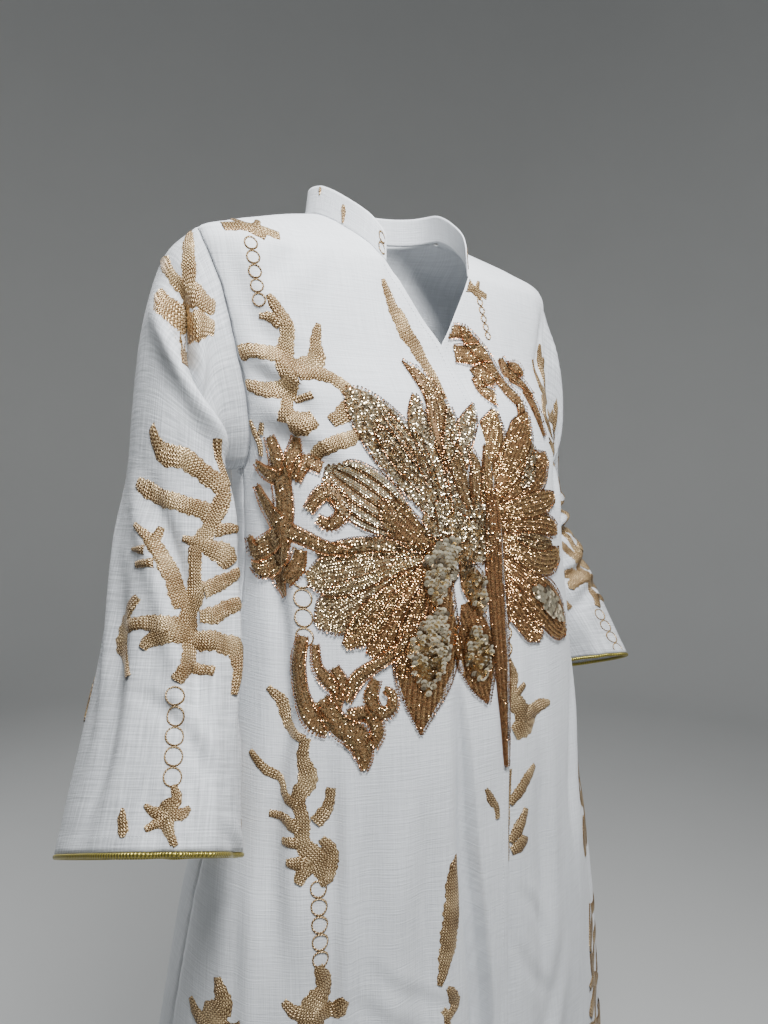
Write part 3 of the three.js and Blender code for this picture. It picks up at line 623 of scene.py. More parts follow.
class Shader:
    """A new node material with one Principled shader."""

    def __init__(self, name, **constants):
        self.material = bpy.data.materials.new(name)
        self.material.use_nodes = True
        self.tree = self.material.node_tree
        self.principled = self.tree.nodes["Principled BSDF"]
        for socket, value in constants.items():
            self.set(socket.replace("_", " "), value)

    def node(self, kind, settings=None, inputs=None):
        """A node of a type: its settings are set first, then the values or links of its sockets."""
        made = self.tree.nodes.new(kind)
        for key, value in (settings or {}).items():
            setattr(made, key, value)
        for key, value in (inputs or {}).items():
            self.feed(made.inputs[key], value)
        return made

    def feed(self, socket, value):
        if isinstance(value, Term):
            value = value.socket
        if isinstance(value, bpy.types.NodeSocket):
            self.tree.links.new(value, socket)
        else:
            socket.default_value = value

    def term(self, kind, settings=None, inputs=None, output=0):
        return Term(self, self.node(kind, settings, inputs).outputs[output])

    def set(self, name, value):
        self.feed(self.principled.inputs[name], value)

    def attribute(self, name):
        return self.term("ShaderNodeAttribute", {"attribute_name": name}, output="Fac")

    def mix(self, factor, first, second):
        """A colour between two others."""
        made = self.node("ShaderNodeMix", {"data_type": "RGBA"}, {0: factor, 6: first, 7: second})
        return made.outputs[2]

    def noise(self, vector, scale, detail=2.0, roughness=0.5):
        return self.term("ShaderNodeTexNoise", None, {
            "Vector": vector, "Scale": scale, "Detail": detail, "Roughness": roughness,
        })

    def stretched(self, source, scale):
        """Coordinates scaled by three factors."""
        return self.node("ShaderNodeMapping", None, {"Vector": source, "Scale": scale}).outputs[0]

    def bump(self, height, strength, distance):
        made = self.node("ShaderNodeBump", None, {
            "Strength": strength, "Distance": distance, "Height": height,
        })
        self.set("Normal", made.outputs[0])


def rgba(colour):
    return (*colour, 1.0)


def weave(shader, uv):
    """Uneven threads both ways: noise drawn out along the warp and along the weft."""
    warp = shader.noise(shader.stretched(uv, (620.0, 22.0, 1.0)), 1.0, 3.0, 0.65)
    weft = shader.noise(shader.stretched(uv, (26.0, 700.0, 1.0)), 1.0, 3.0, 0.65)
    return warp, weft


def cloth_material(name, colour, opacity, contrast):
    """Slubby voile: brighter where thick threads cross, thinner between them."""
    shader = Shader(name, Roughness=0.84, Sheen_Weight=0.1, Sheen_Roughness=0.4)
    uv = shader.node("ShaderNodeUVMap").outputs[0]
    warp, weft = weave(shader, uv)
    threads = warp * 0.5 + weft * 0.5
    broad = shader.noise(uv, 9.0, 2.0)
    tone = (threads - 0.5) * contrast + (broad - 0.5) * 0.4 + 0.6
    shade = tuple(c * 0.62 for c in colour)
    shader.set("Base Color", shader.mix(tone.clamped(), rgba(shade), rgba(colour)))
    shader.bump(threads, 0.8, 0.001)
    if opacity < 1:
        shader.set("Alpha", ((threads - 0.5) * 1.3 + opacity).clamped())
    return shader.material


def thread_material(name, light, dark):
    """Rows of chain stitch in satin yarn: narrow rows across, each a string of slanted loops, painted
    light on the loops as highlight and dark between them as shade.
    """
    shader = Shader(name, Roughness=0.34, Metallic=0.55)
    uv = shader.node("ShaderNodeUVMap").outputs[0]
    parts = shader.node("ShaderNodeSeparateXYZ", None, {0: uv})
    along, across = Term(shader, parts.outputs[0]), Term(shader, parts.outputs[1])
    wander = shader.noise(uv, 130.0, 2.0) * 9.0
    row = (across * (2 * math.pi / 0.0023)).math("SINE")
    slant = (along * (2 * math.pi / 0.0025) + row * 1.6 + wander).math("SINE")
    stitch = (slant * 0.5 + 0.5) * (0.75 + row * 0.25)
    # Random patches across the thread, a little lighter or darker.
    patchy_tone = shader.noise(uv, 42.0, 2.0)
    tone = stitch * 1.05 + (patchy_tone - 0.5) * 1.4 - 0.12
    # Painted highlight and shade: the loops take the light colour, the gaps between them the dark one.
    shader.set("Base Color", shader.mix(tone.clamped(), rgba(dark), rgba(light)))
    shader.bump(stitch, 0.8, 0.001)
    return shader.material


def sequin_material(name, silver, gold, copper, dark):
    """Metallic cups: hue runs from silver by gold to copper, tone from dark to bright. The tone is
    mostly the sequins' own colour, partly painted reflection: some large scales are darkened at random,
    as if they caught no light.
    """
    shader = Shader(name, Metallic=0.94, Roughness=0.19, Coat_Weight=0.3)
    hue, tone = shader.attribute("hue"), shader.attribute("tone")
    first = shader.mix((hue * 2.0).clamped(), rgba(silver), rgba(gold))
    second = shader.mix((hue * 2.0 - 1.0).clamped(), first, rgba(copper))
    shader.set("Base Color", shader.mix(tone, rgba(dark), second))
    return shader.material


def backing_material(name, gold, copper):
    """The dark stitched ground under the sequins, with small grains: partly its thread's colour, partly
    painted shade between the sequins, near black in the hollows of the grains.
    """
    shader = Shader(name, Metallic=0.3, Roughness=0.6)
    place = shader.node("ShaderNodeTexCoord").outputs["Object"]
    grain = shader.noise(place, 520.0, 3.0, 0.7)
    hue = shader.attribute("hue")
    dark = shader.mix(hue, rgba(gold), rgba(copper))
    # Painted shade: dark where the ground shows between the sequins, near black in the low grains.
    shader.set("Base Color", shader.mix(grain, rgba((0.06, 0.035, 0.015)), dark))
    shader.bump(grain, 0.6, 0.001)
    return shader.material


def cord_material(name, colour):
    """Metal thread wound round a core: slanted ridges by the cord's own UV map, with painted shade in
    the grooves between them.
    """
    shader = Shader(name, Metallic=0.85, Roughness=0.32)
    uv = shader.node("ShaderNodeUVMap").outputs[0]
    parts = shader.node("ShaderNodeSeparateXYZ", None, {0: uv})
    along, across = Term(shader, parts.outputs[0]), Term(shader, parts.outputs[1])
    ridge = (along * (2 * math.pi / 0.0024) + across * (2 * math.pi / 0.012)).math("SINE")
    ridge = ridge * 0.5 + 0.5
    # Painted shade: the colour goes dark in the grooves between the windings.
    dark = tuple(0.35 * c for c in colour)
    shader.set("Base Color", shader.mix(ridge, rgba(dark), rgba(colour)))
    shader.bump(ridge, 0.7, 0.0008)
    return shader.material


# Fronts, back, sleeves and collar

def panel_rows(first):
    """Heights of a panel's rows: close at the shoulder and the armhole, wider down the skirt."""
    top = np.linspace(first, SHOULDER_TIP, 18)[:-1]
    turn = (1 - np.cos(np.linspace(0, math.pi, 44))) / 2
    armhole = SHOULDER_TIP + (UNDERARM - SHOULDER_TIP) * (0.6 * turn + 0.4 * np.linspace(0, 1, 44))
    return np.concatenate([top, armhole, np.linspace(UNDERARM, HEM, 184)[1:]])


def make_panel(panel, material, thickness):
    """A front or the back: rows at one height each, from one edge to the other; a front's columns
    are closer together near its free edge, by a share u to (0.54 u + 0.46 u squared). On the right
    front the column at four fifths follows the pleat's edge, and the others shift in proportion."""
    down = panel_rows(0.0 if panel == "back" else 1.5)[:, None]
    low, high = limits(panel, down)
    if panel == "back":
        share = np.linspace(1, 0, 121)
    else:
        even = np.linspace(0, 1, 99)
        share = 0.54 * even + 0.46 * even**2
        share = share if panel == "front_left" else (1 - share)[::-1]
    if panel == "front_right":
        fold = (pleat_place(down) + 0.48 * pleat_width(down) - low) / (high - low)
        fold = 0.8 + (fold - 0.8) * ramp(down, 280, 415)
        share = np.where(share < 0.8, share * fold / 0.8, 1 - (1 - share) * (1 - fold) / 0.2)
    place = low + (high - low) * share
    points = skin(panel, place, down)
    rows, columns = place.shape
    uv = np.stack([place, np.broadcast_to(-down, place.shape)], -1).reshape(-1, 2)
    obj = add_object(panel, points.reshape(-1, 3), [grid_faces(rows, columns)], [material], uv)
    return thicken(obj, thickness)


def make_sleeve(panel, material, thickness):
    """A sleeve: rows at even distances along it, each a whole turn round it."""
    length = SLEEVE_ALONG[panel][-1]
    down = np.linspace(0, length, 112)[:, None]
    radius = np.interp(down, SLEEVE_ALONG[panel], SLEEVE_RADIUS[panel])
    turn = np.linspace(-math.pi, math.pi, 132, endpoint=False)[None, :]
    place = turn * radius
    points = skin(panel, place, down)
    band = ramp(length - down, 13.5, 10.5)[..., None]
    rows, columns = place.shape
    normal = outward(panel, place, down, skin, 1.5)
    points = points + normal * 0.35 * band
    uv = np.stack([turn * radius.mean() + 0 * down, -down + 0 * turn], -1).reshape(-1, 2)
    faces = grid_faces(rows, columns, wraps=True, flip=panel == "sleeve_left")
    obj = add_object(panel, points.reshape(-1, 3), [faces], [material], uv)
    return thicken(obj, thickness)


def neckline():
    """The neckline, from the right front's corner round the back to the left front's corner."""
    down = np.linspace(54, 1.5, 26)
    right = skin("front_right", limits("front_right", down)[1], down, -WALL / 2)
    low, high = limits("back", np.zeros(1))
    place = np.linspace(low[0], high[0], 90)
    back = skin("back", place, np.zeros(90), -WALL / 2)
    left = skin("front_left", limits("front_left", down)[0], down, -WALL / 2)[::-1]
    points = np.concatenate([right, back, left])
    length = np.concatenate([[0], np.cumsum(np.linalg.norm(np.diff(points, axis=0), axis=1))])
    even = np.linspace(0, length[-1], 170)
    line = np.stack([np.interp(even, length, points[:, k]) for k in range(3)], -1)
    for _ in range(6):
        line[1:-1] = (line[:-2] + 2 * line[1:-1] + line[2:]) / 4
    return line, even


def collar_grid():
    """A standing band on the neckline: it leans in towards its top, with a small wave, and its
    front corners are rounded. Returns rows of points from the foot up, and the length round."""
    line, along = neckline()
    inward = unit((np.array([0.0, -12.0, 0.0]) - line) * np.array([1.0, 1.0, 0.0]))
    rise = np.linspace(0, 1, 12)[:, None]
    end = np.exp(-np.minimum(along, along[-1] - along) / 6)[None, :]
    wave = 1.1 * np.sin(along / 41)[None, :] * rise**2
    points = line[None] + inward[None] * (COLLAR_LEAN * rise + wave - WALL / 2)[..., None]
    points[..., 2] += 0.3 + COLLAR_HEIGHT * rise - 3.5 * end * rise**2
    return points, along


COLLAR_GRID, COLLAR_ALONG = collar_grid()


def make_collar(material, thickness):
    """The collar: the standing band's grid of points as a sheet, with its wall inside it."""
    rows, columns = COLLAR_GRID.shape[:2]
    height = np.linspace(0, COLLAR_HEIGHT, rows)[:, None]
    uv = np.stack(np.broadcast_arrays(COLLAR_ALONG[None, :], height), -1)
    faces = grid_faces(rows, columns)
    obj = add_object("collar_band", COLLAR_GRID.reshape(-1, 3), [faces], [material], uv.reshape(-1, 2))
    return thicken(obj, thickness)


# Lines and strips of embroidery

def line_through(points, step):
    """A smooth line through given points: each column is a cubic of the length so far whose
    slope at a point is that between its neighbours, read at even steps."""
    points = np.asarray(points, float)
    chord = np.maximum(np.hypot(*np.diff(points[:, :2], axis=0).T), 1e-6)
    at = np.concatenate([[0], np.cumsum(chord)])
    inner = (points[2:] - points[:-2]) / (at[2:] - at[:-2])[:, None]
    slope = (points[1:] - points[:-1]) / chord[:, None]
    tangent = np.concatenate([slope[:1], inner, slope[-1:]])
    x = np.linspace(0, at[-1], max(4, int(at[-1] / step) + 1))
    i = np.clip(np.searchsorted(at, x, side="right") - 1, 0, len(at) - 2)
    t = ((x - at[i]) / chord[i])[:, None]
    rise = points[i + 1] - points[i]
    a, b = tangent[i] * chord[i, None], tangent[i + 1] * chord[i, None]
    return cubic(points[i], rise, a, b, t)


def sideways(line):
    """The unit vectors across a flat line, to its right as it runs with down pointing down."""
    step = np.gradient(line[:, :2], axis=0)
    step = step / np.maximum(np.hypot(step[:, :1], step[:, 1:]), 1e-6)
    return np.stack([-step[:, 1], step[:, 0]], -1)


def on_panel(panel, place, down):
    """Whether points lie on a panel, a little way in from its edges."""
    if panel.startswith("sleeve"):
        return (down > 3) & (down < SLEEVE_ALONG[panel][-1] - 2)
    if panel == "collar":
        return (place > 1.5) & (place < COLLAR_ALONG[-1] - 1.5) & (np.abs(down - 13.5) < 12.5)
    low, high = limits(panel, np.clip(down, 0, HEM))
    return (place > low + 0.8) & (place < high - 0.8) & (down < HEM - 3)


def strip(panel, points, step=2.0, across=7, height=0.9, jag=0.1, seed=0.0, closed=False):
    """A raised strip of stitches: a smooth line widened by its half width to each side, its height
    1 minus the fourth power of the distance from the middle, its outline uneven."""
    line = line_through(points, step)
    if closed:
        line = line[:-1]
    side = sideways(line)
    length = np.concatenate([[0], np.cumsum(np.hypot(*np.diff(line[:, :2], axis=0).T))])
    share = np.linspace(-1, 1, across)
    left = jag * (np.sin(length * 1.9 + seed) + 0.9 * np.sin(length / 4.1 + 2 * seed))
    right = jag * (np.sin(length * 2.3 + 3 * seed) + 0.9 * np.sin(length / 3.3 + seed))
    uneven = 1 + np.where(share < 0, left[:, None], right[:, None]) * share**2
    offset = np.maximum(line[:, 2:3], 0.4) * share * uneven
    place = line[:, :1] + side[:, :1] * offset
    down = line[:, 1:2] + side[:, 1:] * offset
    lift = -0.35 + (height + 0.35) * (1 - share**4) + 0 * offset
    points_3d = skin(panel, place, down, lift)
    uv = np.stack([length[:, None] + 0 * offset, offset], -1)
    rows, columns = place.shape
    first, last = 0, (rows - 1) * columns
    faces = grid_faces(rows, columns)
    if closed:
        ends = [[last + k, first + k, first + k + 1, last + k + 1] for k in range(columns - 1)]
        faces = np.concatenate([faces, ends])
    if panel not in ("back", "sleeve_left"):
        faces = faces[:, ::-1]
    faces = faces[on_panel(panel, place, down).reshape(-1)[faces].all(1)]
    return points_3d.reshape(-1, 3), faces, uv.reshape(-1, 2), {}


# Coral branches: each limb is a list of (right, down, half width)
CORAL = {
    "patch": [
        [(7, 4, 3), (34, 14, 7), (50, 21, 9), (62, 29, 11), (70, 39, 11), (78, 49, 11), (86, 57, 8),
         (91, 66, 4)],
        [(2, 30, 2), (22, 34, 4), (42, 38, 4), (62, 36, 6)],
        [(32, 48, 3), (48, 51, 6), (62, 50, 8), (74, 48, 9)],
        [(68, 34, 8), (78, 27, 8), (88, 20, 7), (93, 13, 5)],
        [(78, 48, 10), (88, 40, 9), (98, 29, 8), (104, 19, 5)],
    ],
    "tree": [
        [(33, 14, 4), (46, 27, 7), (68, 27, 9), (87, 38, 10), (96, 53, 7)],
        [(87, 0, 3), (94, 24, 4), (98, 44, 4)],
        [(23, 49, 5), (38, 57, 8), (57, 63, 8), (76, 68, 9), (94, 80, 9)],
        [(25, 87, 3), (36, 98, 5), (48, 120, 7), (57, 143, 8), (64, 166, 10)],
        [(44, 87, 3), (40, 101, 5)],
        [(20, 111, 2), (36, 112, 5)],
        [(25, 126, 3), (43, 124, 5)],
        [(96, 52, 6), (90, 74, 8), (86, 90, 8), (76, 106, 8), (74, 128, 7), (74, 154, 10),
         (69, 175, 10), (70, 197, 9), (70, 221, 8), (60, 242, 6)],
        [(109, 89, 4), (90, 91, 7)],
        [(64, 98, 3), (83, 106, 7), (101, 117, 11), (107, 124, 7)],
        [(115, 133, 6), (98, 143, 8), (82, 150, 9)],
        [(116, 163, 7), (94, 174, 9), (79, 176, 6)],
        [(29, 157, 4), (15, 175, 8), (7, 200, 9), (13, 221, 8), (21, 238, 5)],
        [(17, 186, 7), (36, 183, 7), (53, 188, 13), (69, 193, 11)],
        [(55, 194, 8), (38, 201, 7), (33, 208, 4)],
        [(74, 198, 9), (95, 202, 10), (114, 210, 10), (118, 231, 7), (115, 256, 4)],
        [(74, 225, 6), (92, 231, 5)],
    ],
    "upper": [
        [(37, 2, 3), (46, 14, 7), (57, 30, 8), (59, 48, 9), (56, 66, 10), (59, 80, 10), (58, 94, 8),
         (55, 108, 7), (56, 127, 11)],
        [(31, 22, 3), (42, 24, 6), (52, 31, 6)],
        [(-1, 50, 4), (11, 58, 8), (26, 56, 8), (41, 58, 9), (56, 61, 9)],
        [(89, 27, 3), (87, 45, 7), (88, 61, 9), (75, 71, 10), (63, 74, 9)],
        [(68, 78, 8), (92, 78, 8), (110, 88, 8), (119, 101, 7), (111, 115, 9), (98, 125, 7)],
        [(9, 89, 5), (22, 91, 8), (37, 95, 9), (54, 91, 9), (63, 82, 9)],
        [(56, 127, 11), (70, 127, 13), (82, 121, 9)],
        [(62, 104, 4), (80, 99, 4)],
        [(82, 160, 6), (93, 150, 8), (114, 142, 8), (131, 130, 5)],
        [(12, 124, 3), (16, 134, 4), (23, 148, 4), (25, 160, 3)],
        [(27, 126, 2), (24, 138, 4)],
    ],
    "lower": [
        [(19, 0, 4), (32, 15, 7), (37, 34, 8), (48, 43, 6), (58, 46, 5)],
        [(58, 44, 5), (55, 66, 7), (59, 87, 11), (50, 104, 8), (53, 125, 8), (54, 150, 9),
         (69, 171, 11), (75, 193, 7)],
        [(-2, 68, 4), (15, 83, 6), (30, 91, 5), (37, 106, 6), (50, 113, 7)],
        [(19, 127, 4), (36, 129, 6), (50, 137, 7)],
        [(33, 152, 4), (50, 150, 7)],
        [(38, 171, 4), (57, 172, 9), (49, 190, 5)],
        [(80, 95, 5), (76, 116, 7), (65, 130, 8)],
        [(70, 146, 4), (80, 163, 8), (77, 188, 6)],
    ],
    "root": [
        [(28, 0, 4), (32, 22, 9), (22, 42, 13), (26, 66, 9), (34, 92, 6)],
        [(2, 30, 3), (10, 40, 7), (24, 44, 8)],
        [(48, 34, 4), (40, 44, 8), (28, 46, 8)],
        [(4, 66, 4), (14, 58, 7), (24, 56, 7)],
    ],
    "leaf": [[(27, 0, 5), (21, 12, 10), (17, 50, 12), (12, 86, 11), (6, 112, 6), (2, 124, 3)]],
    "curl": [
        [(2, 0, 2), (8, 8, 6), (12, 20, 7), (4, 28, 5), (-2, 20, 3)],
        [(2, 26, 4), (4, 42, 4), (14, 52, 6), (10, 64, 4)],
    ],
    "slit leaf": [[(-2, -4, 3), (8, 18, 7), (22, 44, 9), (36, 68, 8), (46, 92, 6), (52, 112, 3)]],
    "hook": [
        [(4, 0, 4), (8, 18, 5), (7, 36, 6), (14, 54, 10), (20, 68, 13), (8, 78, 8)],
        [(20, 62, 9), (36, 57, 7), (48, 56, 3)],
        [(9, 38, 4), (18, 28, 3)],
    ],
    "sprig": [
        [(2, 0, 3), (0, 40, 4), (0, 92, 3)],
        [(3, 36, 4), (16, 18, 7), (28, 4, 4)],
        [(3, 74, 4), (12, 60, 7), (18, 44, 4)],
        [(4, 84, 4), (14, 78, 8), (17, 72, 6)],
    ],
    "twin leaf": [[(-14, 0, 2), (-8, 12, 5), (-1, 22, 4), (1, 34, 3)]],
    "cross": [
        [(10, 0, 2), (14, 10, 5), (24, 20, 3)],
        [(0, 12, 4), (16, 11, 5), (34, 16, 4)],
        [(26, 2, 2), (20, 12, 4)],
    ],
    "drop": [[(0, -9, 1), (0, -2, 3), (1, 5, 4), (1, 9, 2)]],
}


def placed(limbs, place, down, wide, tall, slant, mirror, rise=0.0):
    """A motif's limbs moved to a place: x scaled and mirrored, y scaled, and each slanted by the
    other."""
    moved = []
    for limb in limbs:
        x, y, half = np.array(limb, float).T
        x = -x if mirror else x
        moved.append(np.stack([place + wide * x + slant * y, down + tall * y + rise * x,
                               half * (wide + tall) / 2], -1))
    return moved


def ring_line(place, down, radius, width):
    """A circle of chain stitch."""
    turn = np.linspace(0, 2 * math.pi, 15)
    return np.stack([place + radius * np.cos(turn), down + radius * np.sin(turn),
                     np.full(len(turn), width)], -1)


# Bands on each panel: motif, place, down, width and height of its unit, slant, mirrored
BANDS = {
    "front_right": [
        ("cross", -190, 30, 1.3, 1.0, 0, False), ("upper", -193, 95, 0.84, 0.82, -0.2, False),
        ("lower", -227, 417, 0.88, 0.8, 0, False), ("root", -201, 634, 1.1, 0.9, 0, False),
        ("root", -290, 652, 1.2, 0.9, 0, False), ("slit leaf", -55, 75, 1.05, 0.88, -0.2, False),
        ("leaf", -66, 566, 0.9, 0.86, 0, False), ("curl", -60, 676, 1.0, 0.9, 0, False),
        ("lower", -60, 736, 0.95, 0.9, 0, True), ("tree", -290, 740, 0.95, 0.9, 0, False),
        ("lower", -180, 790, 1.0, 0.9, 0, False), ("tree", -130, 1000, 0.95, 0.95, 0, False),
        ("tree", -320, 1060, 0.95, 0.95, 0, True), ("twin leaf", 0, 512, 1.0, 0.9, 0, False),
        ("lower", -230, 1180, 1.0, 1.0, 0, False), ("upper", -390, 1180, 0.95, 0.95, 0, False),
        ("upper", -80, 1262, 0.9, 0.9, 0, False),
    ],
    "front_left": [
        ("cross", 38, 54, 0.9, 0.95, 0, False), ("hook", 14, 404, 1.3, 0.88, 0, False),
        ("sprig", 18, 504, 1.25, 0.92, 0, False), ("upper", 206, 100, 0.8, 0.8, 0.2, True),
        ("lower", 226, 470, 0.9, 0.9, 0.1, True), ("root", 36, 830, 1.1, 0.9, 0, False),
        ("tree", 270, 700, 0.95, 0.9, 0, True), ("lower", 150, 810, 1.0, 0.9, 0, True),
        ("tree", 250, 980, 0.95, 0.95, 0, True), ("upper", 60, 1050, 0.95, 0.95, 0, False),
        ("tree", 400, 1120, 0.95, 0.95, 0, True), ("lower", 110, 1220, 1.0, 1.0, 0, True),
    ],
    "back": [
        ("tree", -180, 62, 0.95, 0.9, 0, False), ("tree", 180, 62, 0.95, 0.9, 0, True),
        ("upper", -56, 110, 0.95, 0.9, 0, False), ("lower", -190, 390, 0.95, 0.9, 0, False),
        ("lower", 190, 390, 0.95, 0.9, 0, True), ("tree", -60, 350, 0.95, 0.95, 0, False),
        ("tree", -280, 640, 0.95, 0.95, 0, False), ("tree", 280, 640, 0.95, 0.95, 0, True),
        ("lower", -50, 690, 1.0, 0.95, 0, False), ("upper", -350, 960, 0.95, 0.95, 0, False),
        ("upper", 350, 960, 0.95, 0.95, 0, True), ("lower", -170, 960, 1.0, 0.95, 0, False),
        ("lower", 170, 960, 1.0, 0.95, 0, True), ("tree", -60, 980, 0.95, 0.95, 0, False),
        ("tree", -390, 1160, 0.95, 0.95, 0, False), ("tree", 390, 1160, 0.95, 0.95, 0, True),
        ("upper", -190, 1240, 0.95, 0.9, 0, False), ("upper", 190, 1240, 0.95, 0.9, 0, True),
    ],
    "sleeve_right": [
        ("patch", -120, 0, 1.0, 1.0, 0, False), ("tree", -89, 96, 1.02, 0.81, 0, False),
        ("root", -52, 374, 0.85, 0.5, 0, False), ("drop", -68, 402, 1.6, 1.2, 0, False),
        ("upper", 84, 60, 0.75, 0.8, 0, False), ("lower", -224, 170, 0.9, 0.8, 0, False),
        ("lower", 172, 290, 0.95, 0.75, 0, True), ("root", -240, 380, 1.0, 0.85, 0, False),
    ],
    "sleeve_left": [
        ("patch", 112, 4, 1.0, 1.0, 0, True), ("tree", 60, 120, 0.98, 0.85, 0, True),
        ("upper", -60, 60, 0.75, 0.8, 0, True), ("lower", 130, 90, 0.8, 0.85, 0, False),
    ],
    "collar": [
        ("drop", 58, 10, 0.9, 1.0, 0, False), ("drop", 96, 22, 0.9, 0.4, 0, False),
        ("drop", 150, 12, 0.9, 0.9, 0, False), ("drop", 206, 14, 0.9, 1.0, 0, False),
        ("drop", 262, 12, 0.9, 0.9, 0, False), ("drop", 316, 18, 0.9, 0.6, 0, False),
        ("drop", 360, 12, 0.9, 0.9, 0, False),
    ],
}

# Chains of rings: panel, place, down, number, slant, radius
CHAINS = [
    ("front_right", -172, 56, 5, 0.1, 5.0), ("front_right", -175, 326, 4, 0.0, 7.2),
    ("front_right", -168, 574, 5, 0.0, 6.4), ("front_right", -100, 960, 4, 0.0, 7.2),
    ("front_left", 58, 76, 5, 0.3, 3.4), ("front_left", 17, 366, 3, 0.0, 6.5),
    ("front_left", 130, 980, 3, 0.0, 7.2), ("front_left", 190, 936, 4, 0.0, 7.2),
    ("sleeve_right", -29, 304, 5, 0.0, 7.4), ("sleeve_left", 4, 336, 4, 0.0, 7.2),
    ("back", -130, 300, 5, 0.0, 7.2), ("back", 130, 300, 5, 0.0, 7.2),
    ("back", 0, 590, 6, 0.0, 7.2), ("back", -220, 880, 5, 0.0, 7.2), ("back", 220, 880, 5, 0.0, 7.2),
    ("collar", 6, 8, 2, 0.0, 4.4), ("collar", 402, 8, 2, 0.0, 4.4),
]


def make_branches(panel, material):
    """All chain-stitch embroidery of one panel as a single piece."""
    parts = []
    for name, *where in BANDS[panel]:
        down = where[1]
        for k, limb in enumerate(placed(CORAL[name], *where)):
            parts.append(strip(panel, limb, height=1.0 + 0.05 * k, seed=k * 1.9 + down))
    for which, place, down, count, slant, radius in CHAINS:
        if which == panel:
            for k in range(count):
                middle = place + slant * k * radius, down + k * (2 * radius + 1.2)
                ring = ring_line(*middle, radius, 0.95)
                parts.append(strip(panel, ring, 1.6, 4, 0.9, 0.06, k, closed=True))
    points, faces, uv, _ = joined(parts)
    return add_object(f"branches_{panel}", points, [faces], [material], uv)


# Flower

